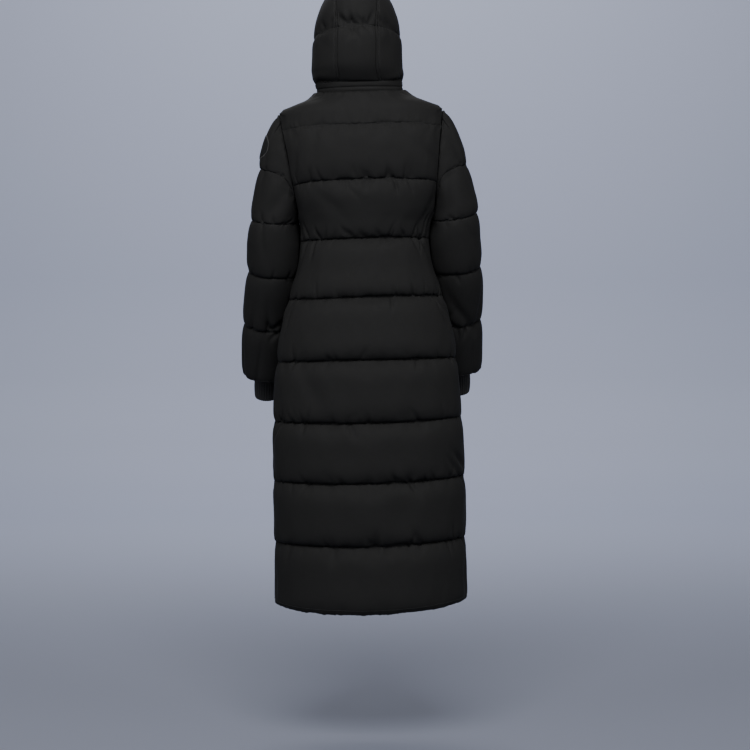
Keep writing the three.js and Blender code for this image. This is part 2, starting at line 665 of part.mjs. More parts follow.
for (const [name, side] of [["zip_tape_left", 1], ["zip_tape_right", -1]]) {
  const at = ([edge, further], x, outward) => {
    const t = (x - Math.abs(edge.x)) / Math.abs(further.x - edge.x);
    const p = edge.clone().lerp(further, t);
    return new THREE.Vector3(side * x, p.y - outward, p.z);
  };
  const stations = zipStations(side);
  const outer = stations.map((s) => [
    at(s, GAP / 2, ZIP.chainProud),
    at(s, ZIP.chainHalf, ZIP.chainProud),
    at(s, ZIP.chainHalf, -2 * GAP),
    at(s, ZIP.tapeHalf, -2 * GAP),
  ]);
  const inner = stations.map((s) => [
    at(s, GAP / 2, -2 * GAP - ZIP.tapeWall),
    at(s, ZIP.tapeHalf, -2 * GAP - ZIP.tapeWall),
  ]);
  add(name, wall(outer, inner), knit);
}

// Slider and its pull tab, at the top of the closed zip. The tab hangs from a pin between
// the slider's ears.
const wasm = await Manifold();
wasm.setup();
const box = (x, y, z) => wasm.Manifold.cube([x, y, z], true);
function asGeometry(made) {
  const mesh = made.getMesh();
  const geometry = new THREE.BufferGeometry();
  geometry.setAttribute("position", new THREE.BufferAttribute(mesh.vertProperties, 3));
  geometry.setIndex(new THREE.BufferAttribute(mesh.triVerts, 1));
  geometry.computeVertexNormals();
  return geometry;
}
{
  const bandBottom = bandPoint(Math.PI, 0, BAND_WALL);
  const bandTopPoint = bandPoint(Math.PI, 1, BAND_WALL);
  const rise = (SLIDER.z + SLIDER.length / 2 - bandBottom.z) / (bandTopPoint.z - bandBottom.z);
  const chainFront = lerp(bandBottom.y, bandTopPoint.y, rise) - ZIP.chainProud;
  const back = chainFront - 5.5 * GAP;
  const spot = settle(new THREE.Vector3(0, 0, SLIDER.z));
  const pinY = back - SLIDER.wall - EARS.proud / 2;
  const pinZ = SLIDER.z + SLIDER.length / 2 - EARS.length / 2;

  const plate = box(2 * SLIDER.half, SLIDER.wall, SLIDER.length)
    .translate([spot.x, back - SLIDER.wall / 2, SLIDER.z]);
  const ears = [-1, 1].map((side) =>
    box(EARS.to - EARS.from, EARS.proud + 0.4, EARS.length)
      .translate([spot.x + (side * (EARS.from + EARS.to)) / 2, pinY + 0.2, pinZ]));
  add("zip_slider", asGeometry(ears.reduce((all, ear) => all.add(ear), plate)), metal);

  const pin = wasm.Manifold.cylinder(2 * (EARS.from - GAP), PULL.pin, PULL.pin, 20, true)
    .rotate([0, 90, 0])
    .translate([spot.x, pinY, pinZ]);
  const neck = box(2 * (EARS.from - GAP), PULL.wall, EARS.length)
    .translate([spot.x, pinY, pinZ - EARS.length / 2]);
  const tabTop = pinZ - PULL.clearance;
  const tab = box(2 * PULL.half, PULL.wall, PULL.length - EARS.length)
    .translate([spot.x, pinY, tabTop - (PULL.length - EARS.length) / 2]);
  const hole = box(PULL.half, 3 * PULL.wall, 5)
    .translate([spot.x, pinY, tabTop - PULL.length + EARS.length + 5]);
  add("zip_pull", asGeometry(pin.add(neck).add(tab).subtract(hole)), metal);
}

// A plain round patch on the left sleeve, laid on the cloth point by point.
{
  const sleeve = coat.getObjectByName("sleeve_left");
  const at = (theta, row) => settle(sleeveSurface(theta, row, "left", sleeveWall(theta, row)));
  const centre = at(PATCH.angle, PATCH.row);
  const normal = normalOf(at, PATCH.angle, PATCH.row, 0.2, 0.2).negate();
  const across = new THREE.Vector3(0, 0, 1).cross(normal).normalize();
  const up = normal.clone().cross(across);
  sleeve.updateMatrixWorld();
  const laid = (a, b, lift) => {
    const p = centre.clone()
      .addScaledVector(across, PATCH.radius * a * Math.sqrt(1 - (b * b) / 2))
      .addScaledVector(up, PATCH.radius * b * Math.sqrt(1 - (a * a) / 2))
      .addScaledVector(normal, 40);
    const ray = new THREE.Raycaster(p, normal.clone().negate());
    return ray.intersectObject(sleeve)[0].point.addScaledVector(normal, lift);
  };
  const grid = (lift) =>
    evenly(1, -1, PATCH.cells).map((b) =>
      evenly(-1, 1, PATCH.cells).map((a) => laid(a, b, lift)));
  const plain = (p) => p;
  add("sleeve_patch", wall(grid(PATCH.lift + PATCH.wall), grid(PATCH.lift), false, plain), cloth);
}

export default coat;
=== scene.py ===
import math

import bmesh
import bpy
import numpy as np
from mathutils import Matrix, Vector
from mathutils.bvhtree import BVHTree


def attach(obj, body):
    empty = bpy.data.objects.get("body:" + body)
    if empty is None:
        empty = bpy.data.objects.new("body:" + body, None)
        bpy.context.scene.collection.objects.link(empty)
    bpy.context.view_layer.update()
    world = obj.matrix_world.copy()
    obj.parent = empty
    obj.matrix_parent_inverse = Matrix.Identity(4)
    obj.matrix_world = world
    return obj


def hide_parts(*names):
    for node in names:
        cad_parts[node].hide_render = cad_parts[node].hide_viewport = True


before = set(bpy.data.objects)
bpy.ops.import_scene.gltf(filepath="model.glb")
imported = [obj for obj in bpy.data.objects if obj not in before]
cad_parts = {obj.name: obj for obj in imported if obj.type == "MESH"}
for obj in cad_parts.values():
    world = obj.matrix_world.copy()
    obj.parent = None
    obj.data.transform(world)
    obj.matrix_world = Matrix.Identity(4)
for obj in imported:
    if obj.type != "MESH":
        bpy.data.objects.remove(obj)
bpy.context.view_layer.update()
scene = bpy.context.scene

# Studio. A pale floor that curves up into a wall, a large soft light behind the coat
# and above it, weaker ones beside it and in front, one that fills the wall, and a camera
# straight behind the coat at hip height. The floor's colour darkens towards the coat and the
# camera: painted shade for the light falling off there.
CAMERA_ANGLE = 22.8
CAMERA_PLACE, CAMERA_AIM = (-0.0375, 4.5, -0.566), (-0.0375, 0.0, -0.675)
FLOOR_Z, FLOOR_HALF = -1.554, 9.0
FLOOR_SWEEP = [(7.0, 0.0), (-5.4, 0.0), (-6.1, 0.07), (-6.6, 0.3), (-6.9, 0.7), (-7.0, 1.3), (-7.0, 9.0)]
# The wall's colour far behind the coat gives way to a darker colour from the coat forward: painted shade for
# the light falling off near the coat and in front of it.
WALL_COLOUR, FLOOR_PAINTED_SHADE_COLOUR = (0.420, 0.456, 0.590, 1), (0.160, 0.174, 0.226, 1)
WALL_AT, COAT_AT = -6.5, -0.3
ROOM_COLOUR, ROOM_STRENGTH = (0.665, 0.66, 0.655, 1), 0.42


def in_scene(name, data):
    made = bpy.data.objects.new(name, data)
    scene.collection.objects.link(made)
    return made


def place_in_studio(name, data, place, aim):
    made = in_scene(name, data)
    made.location = place
    made.rotation_euler = (Vector(aim) - Vector(place)).to_track_quat("-Z", "Y").to_euler()
    return made


def studio_light(name, place, aim, size, power):
    data = bpy.data.lights.new(name, "AREA")
    data.shape = "RECTANGLE"
    data.size, data.size_y = size
    data.energy = power
    place_in_studio(name, data, place, aim)


camera_data = bpy.data.cameras.new("camera")
camera_data.angle = math.radians(CAMERA_ANGLE)
scene.camera = place_in_studio("camera", camera_data, CAMERA_PLACE, CAMERA_AIM)

studio_light("top_light", (0.1, 3.2, 2.4), (0, 0, -0.3), (2.6, 2.0), 197)
studio_light("left_light", (3.2, 2.6, 0.4), (0, 0, -0.6), (1.6, 2.6), 29)
studio_light("right_light", (-3.2, 2.4, 0.3), (0, 0, -0.6), (1.6, 2.6), 26)
studio_light("wall_light", (0, -3.6, 3.6), (0, -7.0, -0.6), (4.0, 1.0), 150)
studio_light("front_light", (0.5, -2.6, 2.4), (0, 0, -0.6), (2.4, 2.0), 45)

world = bpy.data.worlds.new("room")
world.use_nodes = True
room = world.node_tree.nodes["Background"]
room.inputs["Color"].default_value = ROOM_COLOUR
room.inputs["Strength"].default_value = ROOM_STRENGTH
scene.world = world


class Socket:
    """A shader socket that can be used in plain arithmetic. Each operation adds a Math node."""

    def __init__(self, tree, socket):
        self.tree = tree
        self.socket = socket

    def math(self, operation, other):
        node = self.tree.nodes.new("ShaderNodeMath")
        node.operation = operation
        for slot, value in zip(node.inputs, (self, other)):
            if isinstance(value, Socket):
                self.tree.links.new(value.socket, slot)
            else:
                slot.default_value = value
        return Socket(self.tree, node.outputs[0])

    def __add__(self, other):
        return self.math("ADD", other)

    def __mul__(self, other):
        return self.math("MULTIPLY", other)

    __radd__ = __add__
    __rmul__ = __mul__


class Finish:
    """A material with a Principled shader, and one method that adds any other node."""

    def __init__(self, name, colour, roughness, **fixed):
        self.material = bpy.data.materials.new(name)
        self.material.use_nodes = True
        self.tree = self.material.node_tree
        self.shader = self.tree.nodes["Principled BSDF"]
        self.shader.inputs["Base Color"].default_value = (*colour, 1)
        self.shader.inputs["Roughness"].default_value = roughness
        for socket, value in fixed.items():
            self.shader.inputs[socket.replace("_", " ")].default_value = value

    def node(self, kind, settings=None, output=0, **links):
        made = self.tree.nodes.new(kind)
        for name, value in (settings or {}).items():
            setattr(made, name, value)
        for name, value in links.items():
            slot = made.inputs[int(name[1:]) if name[1:].isdigit() else name.replace("_", " ")]
            if isinstance(value, Socket):
                self.tree.links.new(value.socket, slot)
            else:
                slot.default_value = value
        return Socket(self.tree, made.outputs[output])

    def feed(self, socket, value):
        self.tree.links.new(value.socket, self.shader.inputs[socket])

    def bump(self, height, strength, distance):
        normal = self.node("ShaderNodeBump", Height=height, Strength=strength, Distance=distance)
        self.feed("Normal", normal)


floor_finish = Finish("studio_floor", (0.44, 0.47, 0.53), 0.8)
across_floor = floor_finish.node("ShaderNodeSeparateXYZ", output=1,
                                 Vector=floor_finish.node("ShaderNodeTexCoord", output=3))
# Painted shade: the floor's base colour darkens smoothly from the wall towards the coat and the camera,
# standing in for the light falling off.
painted_shade_share = floor_finish.node("ShaderNodeMapRange", {"interpolation_type": "SMOOTHSTEP"},
                             Value=across_floor, i1=WALL_AT, i2=COAT_AT, i3=0.0, i4=1.0)
floor_painted_shade = floor_finish.node("ShaderNodeMix", {"data_type": "RGBA"}, output=2, i0=painted_shade_share,
                                i6=WALL_COLOUR, i7=FLOOR_PAINTED_SHADE_COLOUR)
floor_finish.feed("Base Color", floor_painted_shade)
floor_mesh = bpy.data.meshes.new("floor")
floor_mesh.from_pydata(
    [(x, y, FLOOR_Z + z) for y, z in FLOOR_SWEEP for x in (-FLOOR_HALF, FLOOR_HALF)], [],
    [(2 * i, 2 * i + 1, 2 * i + 3, 2 * i + 2) for i in range(len(FLOOR_SWEEP) - 1)])
floor_mesh.materials.append(floor_finish.material)
floor_mesh.polygons.foreach_set("use_smooth", [True] * len(floor_mesh.polygons))
floor = in_scene("floor", floor_mesh)

# Body of the coat: one back and two fronts, each an outer cloth and a lining with down
# between them, stitched through in level rows. The cloth is a tightly woven black nylon with
# a soft sheen. The panels are sewn at the shoulders, sides and armholes. Sizes are in mm.
MM = 0.001
GAP = 0.3
NECK_SIDE, NECK_BACK, NECK_FRONT_FALL = 2.0, -4.0, 44.0
SHOULDER_HALF, SHOULDER_DROP = 195.0, 37.0
UNDERARM_HALF, UNDERARM_DROP = 163.0, 279.5
ZIP_SLOT_HALF = 6.0
LEAN = 0.028
HEM_FALL = 18.0
BODY_SAG = 8.0
SHOULDER_EASE, EASE_OUT, EASE_DOWN = 7.0, (125, 65), (150, 90)
LINE_ARCH, ARCH_REACH, ARCH_TURN = 14.0, 110, 1.3
LINE_SMILE, SMILE_REACH = 6.0, 140
YOKE_FALL, YOKE_REACH = 6.0, 70
QUILT_Z = [2, -76, -210, -349, -490, -637, -778, -919, -1066, -1215]
QUILT_SEAM = [6, 9, 5.5, 3, 3, 3, 3, 3, 3, 8]
QUILT_PUFF = [5, 12, 18, 22.5, 24, 24, 24, 24, 22]
BODY_COLUMNS = ("z", "half", "back", "front", "mid", "square")
BODY_ROWS = [
    (2, 104, 84, 76, 0, 2.0),
    (-20, 137, 89, 84, 0, 2.0),
    (-37, 195, 95, 92, 0, 2.1),
    (-62, 199, 100, 101, 0, 2.2),
    (-100, 200, 107, 113, 0, 2.4),
    (-160, 196, 112, 124, 0, 2.5),
    (-220, 184, 110, 127, 0, 2.5),
    (-279.5, 163, 104, 121, 0, 2.4),
    (-310, 153, 99, 116, 0, 2.35),
    (-349, 152, 96, 111, 0, 2.3),
    (-420, 158, 104, 111, 4, 2.3),
    (-490, 179, 117, 116, 10, 2.2),
    (-563, 196, 128, 123, 18, 2.2),
    (-637, 208, 137, 130, 24, 2.15),
    (-778, 219, 146, 141, 24, 2.15),
    (-919, 223, 151, 150, 18, 2.15),
    (-1066, 223, 154, 156, 12, 2.15),
    (-1215, 221, 155, 160, 10, 2.15),
]
SWAY_ROWS = [
    (60, 6), (0, -3), (-37, -4), (-279.5, -17), (-349, -12.5), (-637, -17), (-919, -23), (-1215, -28),
]
SWELL_LEAN, SWELL_FLATNESS, SWELL_ROUNDNESS = 1.12, 4, 0.6
WAIST_Z, WAIST_REACH, PRESSED_REACH = -330, 100, 90
SIDE_SHARE, WAIST_WALL_LOSS, WAIST_PUFF_LOSS, FACING_POWER = 0.42, 0.2, 0.75, 0.8
SEAM_HOLD, SEAM_REACH = 0.35, 45
ROW_PITCH, BESIDE_STITCH, CLEAR_OF_STITCH = 5.4, (0, 1.7, 4.4), 8.5
PUFF_SHARE, OVERHANG, OVERHANG_LOW, OVERHANG_END = 0.86, 1.45, 7, 8
noise_source = np.random.default_rng(7)


def smooth_column(keys, values):
    """A smooth curve through a table's values, without overshoot between equal ones."""
    order = np.argsort(keys)
    k = np.array(keys, float)[order]
    v = np.array(values, float)[order]
    m = np.empty_like(v)
    m[1:-1] = (v[2:] - v[:-2]) / (k[2:] - k[:-2])
    m[0] = (v[1] - v[0]) / (k[1] - k[0])
    m[-1] = (v[-1] - v[-2]) / (k[-1] - k[-2])

    def at(x):
        q = np.clip(x, k[0], k[-1])
        i = np.clip(np.searchsorted(k, q) - 1, 0, len(k) - 2)
        w = k[i + 1] - k[i]
        t = (q - k[i]) / w
        between = v[i] + (v[i + 1] - v[i]) * t * t * (3 - 2 * t)
        return between + w * t * (1 - t) * ((1 - t) * m[i] - t * m[i + 1])

    return at


def table_of(names, rows):
    """A curve for each column of a table, over its first column."""
    return {n: smooth_column([r[0] for r in rows], [r[i] for r in rows]) for i, n in enumerate(names)}


def straight_column(keys, values):
    order = np.argsort(keys)
    return lambda x: np.interp(x, np.array(keys, float)[order], np.array(values, float)[order])


body = table_of(BODY_COLUMNS, BODY_ROWS)
body["mid"] = straight_column([r[0] for r in BODY_ROWS], [r[4] for r in BODY_ROWS])
sway = straight_column(*zip(*SWAY_ROWS))


def lerp(a, b, t):
    return a + (b - a) * t


def even(x, span=1.0):
    """Rises evenly from 0 to 1 over a span."""
    t = np.clip(x / span, 0, 1)
    return t * t * (3 - 2 * t)


def power(x, p):
    return np.sign(x) * np.abs(x) ** p


def settle(p):
    """Points of the upright body where they hang: shoulders eased, hips swayed, hem leaning."""
    q = p.copy()
    reach = even(np.abs(p[..., 0]) - EASE_OUT[0], EASE_OUT[1]) * even(p[..., 2] + EASE_DOWN[0], EASE_DOWN[1])
    q[..., 2] -= SHOULDER_EASE * reach
    q[..., 0] += sway(p[..., 2])
    q[..., 2] -= LEAN * q[..., 0]
    return q


def armhole_half(z):
    return lerp(SHOULDER_HALF, UNDERARM_HALF, (-SHOULDER_DROP - z) / (UNDERARM_DROP - SHOULDER_DROP))


def height_at(phi, level):
    """Height of a line of quilting, named by its level at the side, round from the centre back."""
    turn = np.abs(phi) / (math.pi / 2)
    behind = lerp(NECK_BACK, NECK_SIDE, turn * turn)
    before = NECK_SIDE - NECK_FRONT_FALL * np.maximum(turn - 1, 0) ** 3
    neck = np.where(turn < 1, behind, before)
    yoke = QUILT_Z[1]
    last = QUILT_Z[-2]
    arch = LINE_ARCH * np.clip(1 - np.abs(level - QUILT_Z[2]) / ARCH_REACH, 0, 1)
    arch = arch * (np.clip(np.abs(phi), 0, ARCH_TURN) / ARCH_TURN) ** 3
    smile = LINE_SMILE * np.clip((QUILT_Z[5] - level) / SMILE_REACH, 0, 1) * np.cos(phi) ** 2
    smile = smile * np.clip((level - QUILT_Z[-1]) / (last - QUILT_Z[-1]), 0, 1)
    arch = np.where(np.cos(phi) > 0, arch + smile, 0)
    arch = arch + YOKE_FALL * np.clip(1 - np.abs(level - yoke) / YOKE_REACH, 0, 1)
    hem = np.clip((last - level) / (last - QUILT_Z[-1]), 0, 1)
    fall = HEM_FALL * hem * np.maximum(np.cos(phi), 0) ** 1.5
    above = lerp(yoke, neck, (level - yoke) / (NECK_SIDE - yoke))
    return np.where(level <= yoke, level - fall - arch, -arch + above)


def body_point(phi, level):
    """A point of the body's lining, on the upright body before it settles."""
    z = height_at(phi, level)
    p = 2 / body["square"](z)
    c = power(np.cos(phi), p)
    mid = body["mid"](z)
    y = mid + c * np.where(c > 0, body["back"](z) - mid, body["front"](z) + mid)
    return np.stack([body["half"](z) * power(np.sin(phi), p), y, z], -1)


def angle_to(half, z):
    """The angle at which the body reaches that far out from its middle."""
    return np.arcsin(np.clip(half / body["half"](z), 0, 1) ** (body["square"](z) / 2))


def seam_angle(level):
    """The angle of the side seam, or of the armhole's edge beside the sleeve."""
    inside = (level < -SHOULDER_DROP) & (level > -UNDERARM_DROP)
    return np.where(inside, angle_to(armhole_half(level), level), math.pi / 2)


def rows_of(lines, spacing):
    """Row positions between stitched lines, closer together beside each line."""
    rows, channel, share = [], [], []
    for i, (a, b, length) in enumerate(lines):
        beside = np.array(BESIDE_STITCH) / length
        clear = CLEAR_OF_STITCH / length
        middle = np.linspace(clear, 1 - clear, max(3, round((length - 2 * CLEAR_OF_STITCH) / spacing)))
        t = np.concatenate([beside, middle, 1 - beside[:0:-1]])
        rows += list(lerp(a, b, t))
        channel += [i] * len(t)
        share += list(t)
    return np.array(rows + [lines[-1][1]]), np.array(channel + [len(lines) - 1]), np.array(share + [1.0])


def swell(t):
    """Fullness of the down between two stitched lines: none at either, most under the middle."""
    return (1 - np.abs(2 * np.clip(t, 0, 1) ** SWELL_LEAN - 1) ** SWELL_FLATNESS) ** SWELL_ROUNDNESS


def overhang(t):
    """How far the down sags over the stitches below it, as a share of the most."""
    t = np.clip(t, 0, 1)
    return OVERHANG * t ** OVERHANG_LOW * np.sqrt(1 - t ** OVERHANG_END)


def grid_normals(p, wrap=False):
    """Outward normals of a grid of points whose rows run down and whose columns run round."""
    if wrap:
        q = np.concatenate([p[:, -1:], p, p[:, :1]], 1)
        across = (q[:, 2:] - q[:, :-2]) / 2
    else:
        across = np.gradient(p, axis=1)
    down = np.gradient(p, axis=0)
    n = np.cross(down, across)
    return n / np.maximum(np.linalg.norm(n, axis=-1, keepdims=True), 1e-9)


def soft_noise(shape, cells, wrap=False, rng=noise_source):
    """Smooth random heights between about -1 and 1 on a grid, with that many cells each way."""
    rows, cols = (max(2, int(c)) for c in cells)
    knots = rng.uniform(-1, 1, (rows + 3, cols + 3))
    if wrap:
        knots[:, cols:cols + 3] = knots[:, :3]

    def weights(n, count):
        x = np.linspace(0, count, n, endpoint=not (wrap and n == shape[1]))
        i = np.minimum(x.astype(int), count - 1)
        t = x - i
        inner = [3 * t**3 - 6 * t**2 + 4, -3 * t**3 + 3 * t**2 + 3 * t + 1]
        return i, np.stack([(1 - t) ** 3, *inner, t**3], 1) / 6

    i, wi = weights(shape[0], rows)
    j, wj = weights(shape[1], cols)
    out = np.zeros(shape)
    for a in range(4):
        for b in range(4):
            out += wi[:, a:a + 1] * wj[None, :, b] * knots[(i + a)[:, None], (j + b)[None, :]]
    return 1.9 * out


def body_full(phi, level, edge):
    """Thickness of the quilted wall. It is thinner at the sides, the waist and the seams."""
    flat = np.exp(-(((level - WAIST_Z) / WAIST_REACH) ** 4))
    facing = np.abs(np.cos(phi)) ** FACING_POWER
    thin = np.where(level > QUILT_Z[1], 0.0, SIDE_SHARE)
    girth = lerp(thin * (1 - WAIST_PUFF_LOSS * flat), 1, facing)
    held = lerp(SEAM_HOLD, 1, np.clip(edge / SEAM_REACH, 0, 1) ** 0.5)
    seam = body_seam[:, None] * lerp(1 - WAIST_WALL_LOSS * flat, 1, facing)
    return seam + body_puff[:, None] * PUFF_SHARE * girth * swell(body_share[:, None]) * held


def mesh_of(name, points, faces, scale=MM):
    """A mesh from points in millimetres."""
    mesh = bpy.data.meshes.new(name)
    mesh.from_pydata((np.asarray(points, float) * scale).tolist(), [], faces)
    return mesh


def smoothed(mesh):
    mesh.polygons.foreach_set("use_smooth", [True] * len(mesh.polygons))
    return mesh


def face_out(mesh):
    """Turns every face of a closed mesh outwards."""
    turned = bmesh.new()
    turned.from_mesh(mesh)
    bmesh.ops.recalc_face_normals(turned, faces=turned.faces)
    turned.to_mesh(mesh)
    turned.free()


def cloth_map(grid):
    """Where each point lies on the flat cloth, in metres round and down."""
    across = np.linalg.norm(np.diff(grid, axis=1), axis=-1).mean(0)
    down = np.linalg.norm(np.diff(grid, axis=0), axis=-1).mean(1)
    u = np.concatenate([[0], np.cumsum(across)]) * MM
    v = np.concatenate([[0], np.cumsum(down)]) * MM
    return np.stack(np.broadcast_arrays(u[None], v[:, None]), -1)


def lay_map(mesh, spots, girth=None):
    """Gives each face its place on the flat cloth, also where a tube's last column meets its first."""
    corners = np.empty(len(mesh.loops), np.int32)
    mesh.loops.foreach_get("vertex_index", corners)
    flat = spots[corners]
    if girth is not None:
        starts = np.empty(len(mesh.polygons), np.int32)
        sizes = np.empty(len(mesh.polygons), np.int32)
        mesh.polygons.foreach_get("loop_start", starts)
        mesh.polygons.foreach_get("loop_total", sizes)
        widest = np.repeat(np.maximum.reduceat(flat[:, 0], starts), sizes)
        flat[:, 0] += np.where(widest - flat[:, 0] > girth / 2, girth * 1.015, 0)
    layer = mesh.uv_layers.new(name="cloth")
    layer.data.foreach_set("uv", flat.ravel())


def padded_shell(name, outer, inner, wrap=False):
    """One closed piece from the grid of its outer cloth and the plainer grid of its lining."""
    points = np.concatenate([outer.reshape(-1, 3), inner.reshape(-1, 3)])
    maps = [cloth_map(grid) for grid in (outer, inner)]
    out = np.arange(outer.shape[0] * outer.shape[1]).reshape(outer.shape[:2])
    inn = np.arange(inner.shape[0] * inner.shape[1]).reshape(inner.shape[:2]) + out.size
    quads = []

    def skin(ids, flip):
        right = np.roll(ids, -1, 1) if wrap else ids[:, 1:]
        left = ids if wrap else ids[:, :-1]
        q = np.stack([left[:-1], left[1:], right[1:], right[:-1]], -1).reshape(-1, 4)
        quads.extend((q[:, ::-1] if flip else q).tolist())

    def lace(a, b, flip=False):
        i = j = 0
        ends = len(a) - 1, len(b) - 1
        while i < ends[0] or j < ends[1]:
            level = i < ends[0] and (i + 1) / ends[0] <= (j + 1) / ends[1] + 1e-9
            ahead = j == ends[1] or level
            face = [a[i], b[j], a[i + 1]] if ahead else [a[i], b[j], b[j + 1]]
            quads.append(face[::-1] if flip else face)
            i, j = (i + 1, j) if ahead else (i, j + 1)

    def ring(ids):
        return [*ids.tolist(), int(ids[0])] if wrap else ids.tolist()

    skin(out, False)
    skin(inn, True)
    lace(ring(out[0]), ring(inn[0]), True)
    lace(ring(inn[-1]), ring(out[-1]), True)
    if not wrap:
        lace(inn[:, 0].tolist(), out[:, 0].tolist(), True)
        lace(inn[:, -1].tolist(), out[:, -1].tolist())
    mesh = mesh_of(name, points, quads)
    face_out(mesh)
    made = in_scene(name, smoothed(mesh))
    lay_map(mesh, np.concatenate([m.reshape(-1, 2) for m in maps]), maps[0][0, -1, 0] if wrap else None)
    return made


def inflate(sheets, pressure=1.4, growth=0.02, frames=20):
    """The down pushes the cloth out against its stitches. The cloth is a little longer than the
    line it is stitched along, so it gathers there."""
    jobs = []
    for points, pinned, wrap in sheets:
        ids = np.arange(points.shape[0] * points.shape[1]).reshape(points.shape[:2])
        right = np.roll(ids, -1, 1) if wrap else ids[:, 1:]
        left = ids if wrap else ids[:, :-1]
        faces = np.stack([left[:-1], left[1:], right[1:], right[:-1]], -1).reshape(-1, 4)
        work = in_scene("cloth_in_work", mesh_of("cloth_in_work", points.reshape(-1, 3), faces.tolist()))
        group = work.vertex_groups.new(name="stitched")
        for weight in np.unique(pinned):
            if weight > 0:
                group.add(ids[pinned == weight].tolist(), float(weight), "REPLACE")
        cloth = work.modifiers.new("cloth", "CLOTH")
        settings = cloth.settings
        settings.quality = 4
        settings.mass = 0.2
        settings.tension_stiffness = 18
        settings.compression_stiffness = 18
        settings.shear_stiffness = 4
        settings.bending_stiffness = 0.8
        settings.air_damping = 4
        settings.use_pressure = True
        settings.uniform_pressure_force = pressure
        settings.vertex_group_mass = "stitched"
        settings.shrink_min = -growth
        settings.effector_weights.gravity = 0
        cloth.point_cache.frame_end = frames
        jobs.append((work, points))
    for step in range(1, frames + 1):
        scene.frame_set(step)
    results = []
    graph = bpy.context.evaluated_depsgraph_get()
    for work, points in jobs:
        shaped = work.evaluated_get(graph)
        co = np.empty(points.size, np.float32)
        shaped.data.vertices.foreach_get("co", co)
        results.append(co.reshape(points.shape).astype(float) / MM)
    for work, _ in jobs:
        data = work.data
        bpy.data.objects.remove(work)
        bpy.data.meshes.remove(data)
    scene.frame_set(1)
    return results


shell = Finish("black_down_cloth", (0.0112, 0.0112, 0.0113), 0.8, Specular_IOR_Level=0.12)
place = shell.node("ShaderNodeTexCoord", output=3)
on_cloth = shell.node("ShaderNodeTexCoord", output=2)
crumple = shell.node("ShaderNodeTexNoise", Vector=place, Scale=62, Detail=5, Roughness=0.55)
crinkle = shell.node("ShaderNodeTexNoise", Vector=place, Scale=260, Detail=3, Roughness=0.6)
warp = shell.node("ShaderNodeTexWave", {"bands_direction": "X"}, output=1, Vector=on_cloth, Scale=620)
weft = shell.node("ShaderNodeTexWave", {"bands_direction": "Y"}, output=1, Vector=on_cloth, Scale=620)
shell.bump(crumple * 0.6 + crinkle * 0.2 + (warp + weft) * 0.02, 0.16, 0.004)
shell.feed("Roughness", crumple * 0.14 + 0.7)


def blurred(d, wrap):
    """Values of a grid, each averaged with its four neighbours."""
    for axis in (0, 1):
        mode = "wrap" if wrap and axis else "edge"
        q = np.pad(d, [(1, 1) if a == axis else (0, 0) for a in (0, 1)], mode=mode)
        before = np.take(q, range(0, q.shape[axis] - 2), axis)
        after = np.take(q, range(2, q.shape[axis]), axis)
        d = (before + 2 * d + after) / 4
    return d


def outward(p, wrap=False, middle=None):
    """Normals of a settled or unsettled grid, all facing away from the middle of each row."""
    n = grid_normals(p, wrap)
    away = p - (p.mean(axis=1, keepdims=True) if middle is None else np.array(middle))
    return n * np.sign(np.sum(n * away, -1, keepdims=True))


FOLD_REACH, BROAD_SHARE, BLUR_PASSES = 15, 0.4, 9


def eased(points, shape, n, beside, wrap=False, most=7.0):
    """The simulated cloth, with its fine folds kept beside the stitches and smooth further away."""
    d = np.sum((shape - points) * n, -1)
    broad = d
    for _ in range(BLUR_PASSES):
        broad = blurred(broad, wrap)
    d = lerp(BROAD_SHARE * broad, d, np.exp(-beside / FOLD_REACH))
    return points + n * (most * np.tanh(d / most))[..., None]


def finer(p, wrap=False):
    """The same grid with a column halfway between each two, on a smooth curve."""
    first, last = p[:, -1:], p[:, :2]
    if not wrap:
        first, last = 2 * p[:, :1] - p[:, 1:2], 2 * p[:, -1:] - p[:, -2:-1]
    q = np.concatenate([first, p, last], 1)
    count = p.shape[1] if wrap else p.shape[1] - 1
    middle = (9 * (q[:, 1:count + 1] + q[:, 2:count + 2]) - q[:, :count] - q[:, 3:count + 3]) / 16
    out = np.empty((p.shape[0], p.shape[1] + count, *p.shape[2:]))
    out[:, ::2] = p
    out[:, 1::2] = middle
    return out


def edge_distance(p):
    """How far each point of a grid lies from the nearer end of its row."""
    steps = np.linalg.norm(np.diff(p, axis=1), axis=-1)
    run = np.concatenate([np.zeros((len(p), 1)), np.cumsum(steps, 1)], 1)
    return np.minimum(run, run[:, -1:] - run)


PUCKER_LENGTH, PUCKER_WIDTH, PUCKER_DEPTH = (8, 22), (3.2, 5.4), (1.6, 4.4)
PUCKER_SLANT, PUCKER_CROWD, PUCKER_ABOVE, PUCKER_ASIDE = 0.35, 0.09, 0.72, (0.55, 1.5)


def puckers(lines, spread, count, rng=noise_source):
    """Short creases beside each stitched line, most of them above it, uneven in every size."""
    made = []
    for line in lines:
        crowd = rng.uniform(-spread, spread, 4)
        for i in range(count):
            near = crowd[i % 4] + rng.normal(0, spread * PUCKER_CROWD)
            angle = near if i % 3 else rng.uniform(-spread, spread)
            long = rng.uniform(*PUCKER_LENGTH)
            above = rng.uniform() < PUCKER_ABOVE
            aside = (long * PUCKER_ASIDE[0] + PUCKER_ASIDE[1]) * (1 if above else -1)
            made.append((angle, line + aside, long, rng.uniform(*PUCKER_WIDTH), rng.uniform(*PUCKER_DEPTH),
                         rng.normal(0, PUCKER_SLANT)))
    return made


GATHER_PITCH, FINE_PITCH, STRENGTH_PITCH = 13, 7, 90
LUMP_HEIGHT, LUMP_WIDTH, LUMP_DEPTH = 46, 70, 0.35
BROAD_HEIGHT, BROAD_WIDTH, BROAD_DEPTH = 95, 150, 1.1


